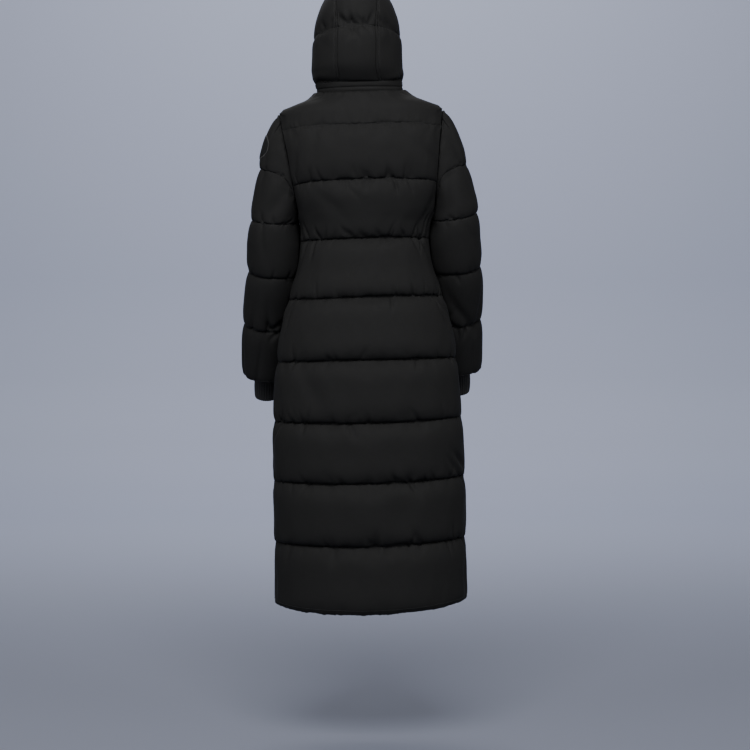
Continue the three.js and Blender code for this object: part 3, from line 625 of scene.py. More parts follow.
def gathers(channel, share, lengths, columns, width, wrap=False, reach=9.0, depth=3.0):
    """Small gathers that run away from the stitched lines, and lumps of the down between them."""
    lines = soft_noise((len(lengths) + 1, columns), (len(lengths), width / GATHER_PITCH), wrap)
    fine = soft_noise((len(lengths) + 1, columns), (len(lengths), width / FINE_PITCH), wrap)
    span = np.array(lengths)[channel]
    above = np.exp(-share * span / reach)[:, None]
    below = np.exp(-(1 - share) * span / reach)[:, None]
    uneven = soft_noise(lines.shape, (len(lengths), width / STRENGTH_PITCH), wrap)
    rough = (lines + 0.5 * fine) * (0.55 + 0.75 * np.clip(uneven, -0.4, 1))
    gathered = above * rough[channel] + below * rough[channel + 1]
    grid, length = (len(channel), columns), sum(lengths)
    lumps = soft_noise(grid, (length / LUMP_HEIGHT, width / LUMP_WIDTH), wrap)
    broad = soft_noise(grid, (length / BROAD_HEIGHT, width / BROAD_WIDTH), wrap)
    return depth * gathered + swell(share)[:, None] * (LUMP_DEPTH * lumps + BROAD_DEPTH * broad)


# The body's creases, given one by one: angle round from the centre back, middle height, half
# length and half width, depth, and slant. A negative depth is a ridge.
BODY_CREASES = [
    (0.12, -236, 24, 6, 3, 0.5), (0.24, -330, 15, 4.5, 6, 0.9), (0.16, -336, 10, 4, 5, 0.7),
    (0.42, -262, 60, 17, 3, 0.7), (-0.95, -285, 48, 15, 3, -0.8), (0.02, -338, 9, 4, 4.5, 0.8),
    (-0.16, -336, 10, 4, 5, 0.5), (-0.38, -337, 9, 4, 4.5, -0.6), (-0.55, -336, 11, 4, 5, 0.7),
    (-0.78, -333, 14, 4.5, 5.5, -0.5), (-1.02, -322, 24, 5, 7, -0.3), (-1.18, -316, 28, 5, 7, -0.15),
    (0.72, -334, 14, 4.5, 5, 0.6), (1.0, -326, 20, 5, 6, 0.5), (1.2, -330, 16, 5, 6, 0.2),
    (1.05, -372, 34, 8, 5, -0.7), (0.80, -372, 26, 7, 4, -0.4), (-1.05, -375, 34, 8, 5, 0.8),
    (-0.80, -370, 24, 6, 4, 0.4), (1.22, -520, 46, 9, 6, -0.9), (1.10, -545, 30, 8, 5, -0.5),
    (-1.25, -525, 46, 9, 6, 1.0), (-1.12, -552, 30, 7, 5, 0.5), (-1.18, -880, 42, 8, 7, 1.3),
    (-1.05, -896, 36, 7, 6, 1.0), (-0.92, -905, 26, 7, 4, 0.5), (1.18, -790, 34, 8, 5, -0.8),
    (0.6, -700, 80, 22, 4, 0.25), (-0.3, -1010, 80, 24, 4, -0.2), (0.15, -795, 22, 6, 3.5, 0.2),
    (-0.45, -935, 26, 7, 4, 0.3), (0.35, -1080, 24, 7, 3.5, -0.2), (0.95, -1085, 30, 8, 4, -0.5),
    (2.5, -420, 66, 16, 6, -0.5), (-2.35, -455, 62, 16, 6, 0.6), (2.2, -850, 80, 20, 6, 0.4),
    (-2.6, -990, 80, 20, 5, -0.3), (2.65, -232, 34, 8, 5, -0.5), (-2.65, -240, 34, 8, 5, 0.5),
    (2.3, -330, 32, 8, 5, -0.7), (-2.3, -328, 32, 8, 5, 0.7), (2.75, -655, 30, 8, 4, 0.3),
    (-2.75, -800, 30, 8, 4, -0.3), (2.1, -372, 30, 8, 4, 0.5), (-2.1, -372, 30, 8, 4, -0.5),
    (1.35, -1140, 50, 12, 4, 0.3), (-1.3, -1150, 46, 12, 4, -0.3), (0.5, -120, 44, 14, 3, -0.6),
    (-0.5, -125, 46, 14, 3, 0.6), (0.85, -165, 40, 10, 4, -0.9), (-0.85, -160, 40, 10, 4, 0.9),
]
BODY_RADIUS, CREASE_BEND, CREASE_WAVE = 190.0, 0.5, 1.7


def crease_depth(across, along, creases, radius=BODY_RADIUS):
    """How deep the creases are at each place. Each is a short, slightly bent trough."""
    total = np.zeros(np.broadcast(across, along).shape)
    for angle, z, long, wide, deep, slant in creases:
        x = (across - angle) * radius
        y = along - z
        size = math.hypot(1, slant)
        run = (y + x * slant) / size
        aside = (x - y * slant) / size
        bend = aside - wide * CREASE_BEND * np.sin(run / long * CREASE_WAVE)
        total += deep * np.exp(-((run / long) ** 2) - (bend / wide) ** 2)
    return total


QUILT_LENGTHS = [abs(b - a) for a, b in zip(QUILT_Z, QUILT_Z[1:])]
body_level, body_channel, body_share = rows_of(list(zip(QUILT_Z, QUILT_Z[1:], QUILT_LENGTHS)), ROW_PITCH)
body_channel[-1] = len(QUILT_LENGTHS) - 1
body_seam = lerp(np.array(QUILT_SEAM)[body_channel], np.array(QUILT_SEAM)[body_channel + 1], body_share)
body_puff = np.array(QUILT_PUFF)[body_channel]


def keep_inside(p, level, behind):
    """Keeps a panel on its own side of the armhole and of the side seam."""
    beside = level >= -UNDERARM_DROP
    limit = armhole_half(p[..., 2]) - GAP / 2
    p[..., 0] = np.where(beside, np.sign(p[..., 0]) * np.minimum(np.abs(p[..., 0]), limit), p[..., 0])
    mid = body["mid"](p[..., 2])
    p[..., 1] = np.maximum(p[..., 1], mid + GAP / 2) if behind else np.minimum(p[..., 1], mid - GAP / 2)
    return p


def trim_side(p, level, behind):
    """Puts a panel's edge on the armhole and the side seam."""
    inside = (level < -SHOULDER_DROP) & (level > -UNDERARM_DROP)
    edge = armhole_half(p[..., 2]) - GAP / 2
    mid = body["mid"](p[..., 2]) + (GAP / 2 if behind else -GAP / 2)
    p[..., 0] = np.where(inside, np.sign(p[..., 0]) * edge, p[..., 0])
    p[..., 1] = np.where(inside, p[..., 1], mid)
    return keep_inside(p, level, behind)


def panel_normals(p):
    n = grid_normals(p)
    return n * np.sign(np.sum(n * p * np.array([1, 1, 0]), -1, keepdims=True))


def body_grid(behind, side, levels, columns, full=None):
    """Points of a panel, and where they lie: the lining, or the outer cloth if full is given."""
    u = np.linspace(0, 1, columns + 1)
    level = levels[:, None] + 0 * u
    if behind:
        phi = lerp(-seam_angle(levels)[:, None], seam_angle(levels)[:, None], u)
    else:
        slot = angle_to(ZIP_SLOT_HALF, height_at(math.pi, levels))
        phi = side * lerp(math.pi - seam_angle(levels)[:, None], math.pi - slot[:, None], u)
    p = body_point(phi, level)
    if full is not None:
        n = panel_normals(p)
        p = p + n * full(phi, level, edge_distance(p))[..., None]
        neck = level == NECK_SIDE
        base = body_point(phi, level)
        p[neck] = base[neck] + np.array([0, 0, QUILT_SEAM[0]])
    inner = keep_inside(p[:, 1:-1].copy(), level[:, 1:-1], behind)
    first = trim_side(p[:, :1].copy(), level[:, :1], behind)
    if behind:
        last = trim_side(p[:, -1:].copy(), level[:, -1:], behind)
    else:
        last = p[:, -1:].copy()
        last[..., 0] = side * ZIP_SLOT_HALF
        inner[..., 0] = side * np.maximum(np.abs(inner[..., 0]), ZIP_SLOT_HALF)
    return np.concatenate([first, inner, last], 1), phi, level


lining_levels = [lerp(a, b, np.arange(4) / 4) for a, b in zip(QUILT_Z, QUILT_Z[1:])]
lining_levels = np.concatenate(lining_levels + [[QUILT_Z[-1]]])
DRIFT_PITCH, DRIFT, SAG_DRIFT, FULL_PUFF = 60, 1.2, 0.25, 18
on_line = np.isin(body_level, QUILT_Z)
body_panels = []
for name, behind, side, columns, width in (
        ("back", True, 1, 124, 700), ("front_left", False, 1, 62, 350), ("front_right", False, -1, 62, 350)):
    drift = soft_noise((len(body_level), columns + 1), (len(QUILT_LENGTHS), width / DRIFT_PITCH))
    points, phi, level = body_grid(behind, side, body_level, columns, body_full)
    sag = BODY_SAG * overhang(body_share)[:, None] * np.minimum(1, body_puff / FULL_PUFF)[:, None]
    sag = sag * (1 + SAG_DRIFT * drift)
    points[1:-1, 1:-1, 2] += (DRIFT * drift - sag)[1:-1, 1:-1]
    pinned = np.zeros(points.shape[:2])
    pinned[on_line] = 1
    pinned[:, [0, -1]] = 1
    lining, _, _ = body_grid(behind, side, lining_levels, columns // 3)
    body_panels.append({"name": name, "outer": points, "pinned": pinned, "phi": phi, "level": level,
                        "lining": lining, "width": width})


def from_line(channel, share, lengths):
    """How far each row lies from its nearer stitched line."""
    return (np.minimum(share, 1 - share) * np.array(lengths)[channel])[:, None]


inflated = inflate([(p["outer"], p["pinned"], False) for p in body_panels])
beside = from_line(body_channel, body_share, QUILT_LENGTHS)
for panel, shape in zip(body_panels, inflated):
    panel["outer"] = eased(panel["outer"], shape, panel_normals(panel["outer"]), beside)

HELD_ON_LINE, SEAM_FADE, PRESSED = 0.25, 8, 0.7
body_puckers = puckers(QUILT_Z[2:-1], math.pi, 34)
for panel in body_panels:
    points, phi, level = (finer(panel[key]) for key in ("outer", "phi", "level"))
    held = np.where(on_line, HELD_ON_LINE, 1.0)[:, None]
    pressed = np.exp(-(((level - WAIST_Z) / PRESSED_REACH) ** 4)) * np.abs(np.sin(phi)) ** 4
    loose = gathers(body_channel, body_share, QUILT_LENGTHS, points.shape[1], panel["width"])
    creased = crease_depth(phi, level, BODY_CREASES + body_puckers)
    shift = (loose * (1 - PRESSED * pressed) - creased) * held
    shift = shift * np.clip(edge_distance(points) / SEAM_FADE, 0, 1)
    panel["outer"] = points + panel_normals(points) * shift[..., None]
    made = padded_shell(panel["name"] + "_cloth", settle(panel["outer"]), settle(panel["lining"]))
    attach(made, "coat")
    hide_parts(panel["name"])
    made.data.materials.append(shell.material)

# Sleeves: each a tube of the same quilted cloth with down in it, set into its armhole, with
# its one seam on the inner side. They hang a little forward of the body panels.
ARM_COLUMNS = ("at", "z", "left", "right", "leftOut", "rightOut", "across", "deep")
ARM_ROWS = [
    (1, -294, 218, 208, 8, 8, 52, 56),
    (2, -418, 224, 221, 40, 46, 52, 54),
    (3, -543, 241, 223, 90, 104, 51, 52),
    (4, -668, 250, 226, 144, 156, 49, 49),
]
SLEEVE_WALL, SLEEVE_PUFF, CAP_FULLNESS, BODY_CLEARANCE = 3.0, 11.5, 3.2, 2.0
INNER_FULLNESS, SLEEVE_SAG = 0.30, 6.0
CAP_LINE_X, CAP_LINE_Z, CAP_LINE_SLOPE, CAP_LINE_LEAST = 174, -202, 0.427, 0.08
SLEEVE_LENGTHS = [132, 96, 129, 134, 136]
SLEEVE_LINES = list(range(len(SLEEVE_LENGTHS) + 1))
SLEEVE_COUNT, SLEEVE_PITCH, SLEEVE_ROW, SLEEVE_RADIUS = 80, 4.6, 120, 62
SLEEVE_INSIDE, SLEEVE_CAP_PUFF, NARROW_CAP = 0.25, 0.8, 0.4
SLEEVE_SEAM_HOLD, SLEEVE_HELD, SLEEVE_GROWTH = 0.6, 0.3, 0.03
FULL_FROM, FULL_TO, SIDE_WALL, SIDE_PUFF = (1, 0.5), (2.8, 1.0), 4, 9.6
SIDE_PUFF_FROM, SIDE_PUFF_OVER, CREASED_CLEARANCE = 420, 120, 1.2
# Their creases: angle round from the outside, middle, half length and half width in rows of
# quilting, depth, and slant.
SLEEVE_CREASES = {
    "left": [
        (0.6, 0.85, 0.5, 0.1, 4, 0.2), (1.5, 1.5, 0.5, 0.12, 4, -0.3), (0.9, 3.86, 0.5, 0.07, 4, 0.0),
        (1.6, 3.80, 0.4, 0.07, 4, 0.3), (0.4, 4.72, 0.5, 0.06, 3, 0.1), (1.2, 4.86, 0.6, 0.05, 3, -0.1),
        (-1.0, 2.9, 0.5, 0.08, 5, 0.2), (-0.8, 2.6, 0.4, 0.07, 4, -0.2), (1.1, 2.2, 0.4, 0.07, 3, 0.3),
        (1.72, 3.92, 0.14, 0.045, 6, 1.3), (2.0, 3.86, 0.17, 0.05, 7, -1.1),
        (2.25, 3.93, 0.14, 0.045, 6, 0.9), (1.9, 4.07, 0.12, 0.04, 5, -0.9), (1.5, 1.9, 0.12, 0.04, 4, 0.6),
    ],
    "right": [
        (0.5, 3.72, 0.45, 0.08, 4, 0.5), (1.3, 3.78, 0.5, 0.09, 5, -0.6), (1.0, 2.2, 0.4, 0.07, 3, -0.3),
        (0.7, 0.8, 0.5, 0.1, 4, -0.2), (1.6, 1.55, 0.5, 0.1, 4, 0.3), (-1.0, 2.88, 0.5, 0.08, 5, -0.2),
        (-0.7, 2.6, 0.4, 0.07, 4, 0.2), (0.9, 4.8, 0.5, 0.06, 3, 0.1), (2.1, 3.86, 0.18, 0.05, 7, 1.1),
        (1.8, 3.92, 0.12, 0.045, 5, -0.7), (1.6, 1.92, 0.12, 0.04, 4, -0.5),
    ],
}
arm = table_of(ARM_COLUMNS, ARM_ROWS)


def arm_centre(s, side):
    """The middle of the arm, on the coat's left, at a row of quilting. The right one is mirrored."""
    return np.stack([arm[side](s), -arm[side + "Out"](s), arm["z"](s)], -1)


def unit(v):
    return v / np.maximum(np.linalg.norm(v, axis=-1, keepdims=True), 1e-9)


def arm_frame(s, side):
    """Directions along the arm, out from the body and to the back."""
    down = unit(arm_centre(s + 0.02, side) - arm_centre(s - 0.02, side))
    out = unit(np.array([1.0, 0, 0]) - down * down[..., :1])
    return down, out, np.cross(out, down)


def armhole_depth(z, behind):
    """How far the body reaches to the back or the front at its armhole."""
    square = body["square"](z)
    rest = (1 - np.clip(armhole_half(z) / body["half"](z), 0, 1) ** square) ** (1 / square)
    return np.where(behind, body["back"](z), body["front"](z)) * rest


def sleeve_point(theta, s, side):
    """A point of the arm's surface. From 0 to 1 it fans out of the armhole, then it is a tube."""
    theta, s = np.broadcast_arrays(theta, s)
    c, d = np.cos(theta), np.sin(theta)
    _, out, back = arm_frame(np.maximum(s, 1), side)
    free = arm_centre(np.maximum(s, 1), side)
    spread = even(s - FULL_FROM[0], FULL_FROM[1]) * even(FULL_TO[0] - s, FULL_TO[1])
    wide = 1 + INNER_FULLNESS * spread * (c < 0)
    free = free + out * (arm["across"](s) * wide * c)[..., None] + back * (arm["deep"](s) * d)[..., None]
    _, out1, back1 = arm_frame(np.array(1.0), side)
    q = np.clip(s, 0, 1)
    turned = even(q)
    pit = np.array([UNDERARM_HALF, 0, -UNDERARM_DROP])
    tip = np.array([SHOULDER_HALF, 0, -SHOULDER_DROP])
    angle = lerp(math.atan2(tip[2] - pit[2], tip[0] - pit[0]), math.atan2(out1[2], out1[0]), q)
    toward = np.stack([np.cos(angle), 0 * angle, np.sin(angle)], -1)
    across1 = float(arm["across"](1))
    low = arm_centre(np.array(1.0), side) - out1 * across1
    start = pit + (low - pit) * q[..., None]
    reach = across1 + (np.linalg.norm(tip - pit) / 2 - across1) * (1 - q) ** CAP_FULLNESS
    z = lerp((tip[2] + pit[2]) / 2, tip[2], c)
    depth = lerp(np.sign(d) * armhole_depth(z, d > 0), float(arm["deep"](1)) * d, turned)
    way = back1 * turned[..., None] + np.array([0, 1.0, 0]) * (1 - turned)[..., None]
    fan = start + toward * (reach * (1 + c))[..., None]
    fan[..., 1] = start[..., 1]
    fan = fan + way * depth[..., None]
    fan[..., 0] = start[..., 0] + toward[..., 0] * reach * (1 + c) + way[..., 0] * depth
    return np.where((s >= 1)[..., None], free, fan)


def cap_line(theta, side):
    """Where the first stitched line crosses the sleeve head, found by halving."""
    low, high = np.zeros_like(theta), np.ones_like(theta)
    for _ in range(24):
        half = (low + high) / 2
        p = sleeve_point(theta, half, side)
        above = p[..., 2] - CAP_LINE_Z - CAP_LINE_SLOPE * (p[..., 0] - CAP_LINE_X) > 0
        low, high = np.where(above, half, low), np.where(above, high, half)
    return np.maximum(low, CAP_LINE_LEAST)


def body_side(p):
    """How far out the body's cloth reaches beside a point."""
    z, y = p[..., 2], p[..., 1]
    thick = SIDE_WALL + SIDE_PUFF * np.clip((-z - SIDE_PUFF_FROM) / SIDE_PUFF_OVER, 0, 1)
    mid = body["mid"](z)
    depth = np.where(y > mid, body["back"](z) - mid, body["front"](z) + mid) + thick
    n = body["square"](z)
    rest = np.maximum(1 - np.minimum(1, np.abs(y - mid) / depth) ** n, 0)
    beside = (body["half"](z) + thick) * rest ** (1 / n)
    return np.where(z > -UNDERARM_DROP, armhole_half(z), beside)


def around(values, passes):
    """Values smoothed round the sleeve."""
    for _ in range(passes):
        values = (np.roll(values, 1, 1) + 2 * values + np.roll(values, -1, 1)) / 4
    return values


def full_turn(count):
    return 2 * math.pi * np.arange(count) / count


def sleeve_grid(side, rows, count, raised=None):
    """Points of a sleeve: the lining, or the outer cloth if its thickness is given."""
    theta = full_turn(count)
    line = around(cap_line(theta, side)[None], count // 16)
    row = rows[:, None]
    s = np.where(row >= 2, row - 1, np.where(row < 1, line * row, lerp(line, 1, row - 1)))
    p = sleeve_point(theta[None] + 0 * row, np.clip(s, 0, 4), side)
    p = lerp(p, around(p, count // 8), even(row, 0.5)[..., None])
    if raised is not None:
        n = outward(p, True)
        n[0], n[-1] = n[1], n[-2]
        p = p + n * raised[..., None]
    beside = (row > 0) | (p[..., 2] < -UNDERARM_DROP)
    clear = np.where(beside, BODY_CLEARANCE * np.minimum(1, 0.4 + row * 4), GAP / 2)
    if raised is None:
        clear = clear + np.where(row == 0, 0, 3)
    p[..., 0] = np.maximum(p[..., 0], body_side(p) + clear)
    return p


def creases_by_row(creases, row_length):
    """Creases whose heights and sizes are given in rows, in millimetres. Rows may run down."""
    size = abs(row_length)
    way = math.copysign(1, row_length)
    return [(turn, row_length * row, size * long, size * wide, deep, way * slant)
            for turn, row, long, wide, deep, slant in creases]


sleeve_bands = [(i, i + 1, length) for i, length in enumerate(SLEEVE_LENGTHS)]
sleeve_rows, sleeve_channel, sleeve_share = rows_of(sleeve_bands, SLEEVE_PITCH)
sleeves = []
for side in ("left", "right"):
    theta = full_turn(SLEEVE_COUNT)
    outside = SLEEVE_INSIDE + (1 - SLEEVE_INSIDE) * ((1 + np.cos(theta)) / 2) ** 0.6
    cap = np.where(sleeve_channel < 2, SLEEVE_CAP_PUFF, 1.0)
    raised = SLEEVE_WALL + SLEEVE_PUFF * outside[None] * (cap * swell(sleeve_share))[:, None]
    narrow = around(np.clip(cap_line(theta, side) / NARROW_CAP, 0, 1)[None], 8)
    raised = np.where((sleeve_channel == 0)[:, None], SLEEVE_WALL + (raised - SLEEVE_WALL) * narrow, raised)
    points = sleeve_grid(side, sleeve_rows, SLEEVE_COUNT, raised)
    sag = SLEEVE_SAG * overhang(sleeve_share)[:, None] * (0.4 + 0.6 * outside)[None]
    points[1:-1, :, 2] -= sag[1:-1]
    pinned = np.zeros(points.shape[:2])
    pinned[np.isin(sleeve_rows, SLEEVE_LINES)] = 1
    pinned[:, SLEEVE_COUNT // 2] = SLEEVE_SEAM_HOLD
    lining_rows = np.arange(4 * len(SLEEVE_LENGTHS) + 1) / 4
    lining = sleeve_grid(side, lining_rows, 32)
    sleeves.append({"side": side, "outer": points, "pinned": pinned, "lining": lining})

inflated = inflate([(s["outer"], s["pinned"], True) for s in sleeves], growth=SLEEVE_GROWTH)
beside = from_line(sleeve_channel, sleeve_share, SLEEVE_LENGTHS)
for sleeve, shape in zip(sleeves, inflated):
    n = outward(sleeve["outer"], True)
    sleeve["outer"] = eased(sleeve["outer"], shape, n, beside, True, 5.0)

for sleeve in sleeves:
    side = sleeve["side"]
    theta = full_turn(2 * SLEEVE_COUNT)
    turn = (theta + math.pi) % (2 * math.pi) - math.pi
    p = finer(sleeve["outer"], True)
    n = outward(p, True)
    creases = creases_by_row(SLEEVE_CREASES[side], -SLEEVE_ROW)
    creases += puckers([-SLEEVE_ROW * line for line in SLEEVE_LINES[1:-1]], math.pi, 9)
    creased = crease_depth(turn[None], -SLEEVE_ROW * sleeve_rows[:, None], creases, SLEEVE_RADIUS)
    loose = gathers(sleeve_channel, sleeve_share, SLEEVE_LENGTHS, 2 * SLEEVE_COUNT, 360, True, 10, 1.8)
    outside = 0.3 + 0.7 * ((1 + np.cos(theta)) / 2)[None]
    held = np.where(np.isin(sleeve_rows, SLEEVE_LINES), SLEEVE_HELD, 1.0)[:, None]
    held = held * np.clip(sleeve_rows / 0.1, 0, 1)[:, None]
    p = p + n * ((loose * outside - creased) * held)[..., None]
    p[1:, :, 0] = np.maximum(p[1:, :, 0], body_side(p[1:]) + CREASED_CLEARANCE)
    p[0, :, 0] = np.maximum(p[0, :, 0], body_side(p[0]) + GAP / 2)
    lining = sleeve["lining"]
    if side == "right":
        p, lining = p * [-1, 1, 1], lining * [-1, 1, 1]
        p, lining = p[:, ::-1], lining[:, ::-1]
    p, lining = p[:, ::-1], lining[:, ::-1]
    sleeve["placed"] = settle(p)
    made = padded_shell("sleeve_" + side + "_cloth", sleeve["placed"], settle(lining), True)
    sleeve["piece"] = made
    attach(made, "coat")
    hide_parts("sleeve_" + side)
    made.data.materials.append(shell.material)

# Cuffs: tubes of rib knit, sewn inside the sleeve ends, with ribs along the sleeve. They are
# narrower than the sleeve and turn in at their ends.
CUFF_RADIUS, CUFF_WALL, CUFF_INSIDE, CUFF_OUTSIDE = 29.0, 2.0, 26.0, 64.0
CUFF_RIBS, RIB_RISE, RIB_POINTS, CUFF_SAG, LINING_EASE = 30, 1.5, 8, 0.7, 1.4
CUFF_PROFILE = [(-12, 6), (-4, 2), (2, 0.6), (8, 0), (18, 0.5), (30, 0.9), (42, 0.4), (52, -0.4), (59, -1.2),
                (62, -1.8), (CUFF_OUTSIDE, -2.6)]
knit = Finish("black_rib_knit", (0.0065, 0.0065, 0.007), 0.92, Sheen_Weight=0.05, Sheen_Roughness=0.6)
on_knit = knit.node("ShaderNodeTexCoord", output=2)
strands = knit.node("ShaderNodeTexWave", {"bands_direction": "DIAGONAL"}, output=1,
                    Vector=on_knit, Scale=190, Distortion=1.5, Detail=1)
loops = knit.node("ShaderNodeTexWave", {"bands_direction": "Y"}, output=1, Vector=on_knit, Scale=170)
fuzz = knit.node("ShaderNodeTexNoise", Vector=on_knit, Scale=2600, Detail=2)
knit.bump(strands * 0.5 + loops * 0.5 + fuzz * 0.5, 0.5, 0.0006)


def cuff_ring(side, along, radius, angles):
    """Points round the arm, so far past the sleeve's end, at a radius for each of the angles."""
    end = np.array(float(SLEEVE_LINES[-2]))
    down, out, back = arm_frame(end, side)
    turned = out * np.cos(angles)[:, None] + back * np.sin(angles)[:, None]
    return arm_centre(end, side) + down * along + turned * np.reshape(radius, (-1, 1))


for side in ("left", "right"):
    sewn = min(float(arm["across"](4)), float(arm["deep"](4))) - LINING_EASE
    profile = [(-CUFF_INSIDE, sewn), (-CUFF_INSIDE + 5, sewn - 3)]
    profile += [(along, CUFF_RADIUS + more) for along, more in CUFF_PROFILE]
    theta, few = full_turn(CUFF_RIBS * RIB_POINTS), full_turn(48)
    rib = RIB_RISE * np.abs(np.sin(theta * CUFF_RIBS / 2)) ** 0.7
    sag = soft_noise((len(profile), len(theta)), (3, 7), True)
    outer = np.stack([cuff_ring(side, along, radius + (rib + CUFF_SAG * sag[i] if i > 2 else 0 * rib), theta)
                      for i, (along, radius) in enumerate(profile)])
    inner = np.stack([cuff_ring(side, along, radius - CUFF_WALL - 0.4 + 0 * few, few)
                      for along, radius in profile])
    if side == "right":
        outer, inner = (outer * [-1, 1, 1])[:, ::-1], (inner * [-1, 1, 1])[:, ::-1]
    made = padded_shell("cuff_" + side + "_knit", settle(outer[:, ::-1]), settle(inner[:, ::-1]), True)
    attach(made, "coat")
    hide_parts("cuff_" + side)
    made.data.materials.append(knit.material)
    "sleeve_" + side + "_cloth"

# Neck band: a low standing band of two cloths with thin padding, stitched along its middle,
# sewn between the body and the hood and open at the centre front.
BAND_HEIGHT, BAND_WALL, BAND_FLARE, BAND_INSET = 27.0, 7.0, 3.0, 1.9
BAND_RISES = np.array([1, 0.96, 0.88, 0.78, 0.68, 0.6, 0.54, 0.5, 0.46, 0.4, 0.32, 0.22, 0.12, 0.04, 0])
BAND_COLUMNS, BAND_GROOVE, BAND_LIP = 161, 1.9, 1.0


def band_point(phi, rise, inward):
    """A point of the band, round from the centre back, from its foot at 0 to its top at 1."""
    p = body_point(phi, NECK_SIDE + 0 * phi)
    away = unit(p * [1, 1, 0])
    p = p + away * (BAND_FLARE * rise - BAND_INSET - inward)[..., None]
    p[..., 2] += BAND_HEIGHT * rise
    return p


band_end = math.pi - float(angle_to(ZIP_SLOT_HALF, height_at(math.pi, NECK_SIDE)))
phi = np.linspace(-band_end, band_end, BAND_COLUMNS)
dent = BAND_GROOVE * np.exp(-(((BAND_RISES - 0.5) / 0.06) ** 2))
dent = dent + BAND_LIP * np.exp(-(((BAND_RISES - 1) / 0.05) ** 2))
band_grid = (len(BAND_RISES), BAND_COLUMNS)
wave = soft_noise(band_grid, (4, 34)) * 0.8 + soft_noise(band_grid, (2, 60)) * 0.4
wave *= np.clip(np.minimum(BAND_RISES, 1 - BAND_RISES) * 8, 0, 1)[:, None]
rises, turns = np.meshgrid(BAND_RISES, phi, indexing="ij")
outer = band_point(turns, rises, dent[:, None] - wave)
inner = band_point(*np.meshgrid(phi, [1.0, 0.5, 0.0]), np.full((3, BAND_COLUMNS), BAND_WALL))
for grid in (outer, inner):
    grid[:, 0, 0], grid[:, -1, 0] = -ZIP_SLOT_HALF, ZIP_SLOT_HALF
neck_band = padded_shell("neck_band_cloth", settle(outer), settle(inner))
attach(neck_band, "coat")
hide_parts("neck_band")
neck_band.data.materials.append(shell.material)

# Hood: a centre panel over the crown and two side panels, quilted like the coat, sewn to the
# neck band. Its seams are topstitched, and its brim is turned in.
HOOD_COLUMNS = ("at", "backY", "backZ", "midY", "midZ", "edgeY", "edgeZ", "half", "edge", "round")
HOOD_ROWS = [
    (0, 80, 24, 0, 29, -86, -14, 99, 10, 2.0),
    (1, 95, 58, -2, 52, -96, 32, 100, 36, 2.1),
    (2, 102, 104, -6, 96, -99, 84, 98, 60, 2.1),
    (3, 102, 150, -10, 132, -98, 118, 97, 72, 2.0),
    (4, 88, 210, -28, 160, -100, 152, 92, 77, 1.9),
    (5, 50, 256, -48, 170, -103, 163, 88, 79, 1.8),
    (6, -2, 276, -70, 178, -107, 173, 86, 80, 1.8),
    (7, -62, 268, -92, 185, -109, 183, 84, 80, 1.85),
    (8, -122, 234, -112, 192, -112, 193, 82, 80, 1.9),
]
HOOD_LINES = [0, 3, 5.6, 8]
HOOD_LENGTHS = [135, 140, 130]
HOOD_WALL, HOOD_PUFF, CENTRE_PANEL_HALF = 5.0, 10.0, 43.0
HOOD_CREASES = [
    (0.42, 0.26, 0.75, 0.11, 6, 4.8), (0.44, 0.62, 0.7, 0.2, -3.5, 4.8), (-0.42, 0.3, 0.6, 0.11, 6, -4.2),
    (-0.45, 0.66, 0.6, 0.2, -3.5, -4.2), (0.1, 0.22, 0.3, 0.09, 2.5, 3.0), (0.15, 3.26, 0.26, 0.08, 4.5, 0.7),
    (0.28, 3.24, 0.28, 0.09, 5, -0.7), (-0.14, 3.25, 0.26, 0.08, 4.5, -0.6), (-0.27, 3.26, 0.3, 0.09, 5, 0.8),
    (0.06, 3.16, 0.18, 0.06, 3.5, -0.6), (-0.03, 3.2, 0.2, 0.07, 3.5, 0.5),
    (-0.08, 3.15, 0.16, 0.06, 3, -0.3),
    (0.1, 2.84, 0.18, 0.07, 3, 0.6), (0.0, 2.8, 0.24, 0.08, 3, -0.4), (-0.1, 2.85, 0.16, 0.06, 3, 0.4),
    (0.4, 3.2, 0.3, 0.1, 4, -0.5), (-0.38, 3.2, 0.3, 0.1, 4, 0.5), (0.75, 2.4, 0.5, 0.16, 3, -0.5),
    (-0.78, 2.3, 0.5, 0.16, 3, 0.5), (0.8, 4.2, 0.5, 0.16, 3, 0.4), (-0.8, 4.3, 0.5, 0.16, 3, -0.4),
]
HOOD_MIDDLE = (0, -10, 110)
HOOD_SIDE_AT, HOOD_SIDE_PER_ROW, SIDE_STEPS_POWER = 0.6, 0.035, 1.35
FRONT_EDGE, HOOD_ON_BAND, HOOD_PITCH = 0.12, 1.0, 4.6
HOOD_SEAM_HOLD, HOOD_SEAM_REACH, HOOD_SIDE_LOSS, HOOD_SIDE_WIDTH = 0.88, 20, 0.5, 0.4
FOOT_SHARE, FOOT_ROWS, BRIM_FROM, BRIM_OVER, BRIM_LOW_SHARE = 0.35, 1.3, 0.6, 0.4, 0.45
BRIM_WALL_LOSS, BRIM_PUFF_LOSS, CORNER_FROM, CORNER_OVER = 0.4, 0.95, 6.5, 1.5
HOOD_ROW, HOOD_RADIUS, HOOD_SEAM_FADE = 45, 150, 5
TOPSTITCH, TOPSTITCH_GROOVE, TOPSTITCH_WIDTH = 10.0, 1.7, 1.6
hood = table_of(HOOD_COLUMNS, HOOD_ROWS)


def band_top(u, inward):
    """The band's top edge, round from the centre back to the hood's front edge at -1 and 1."""
    p = band_point(u * (math.pi - FRONT_EDGE), 1.0 + 0 * u, inward + 0 * u)
    p[..., 2] -= GAP
    return p


def side_turn(row):
    """Where round a row the hood is widest, between its centre at 0 and its brim at 1."""
    return HOOD_SIDE_AT + HOOD_SIDE_PER_ROW * row


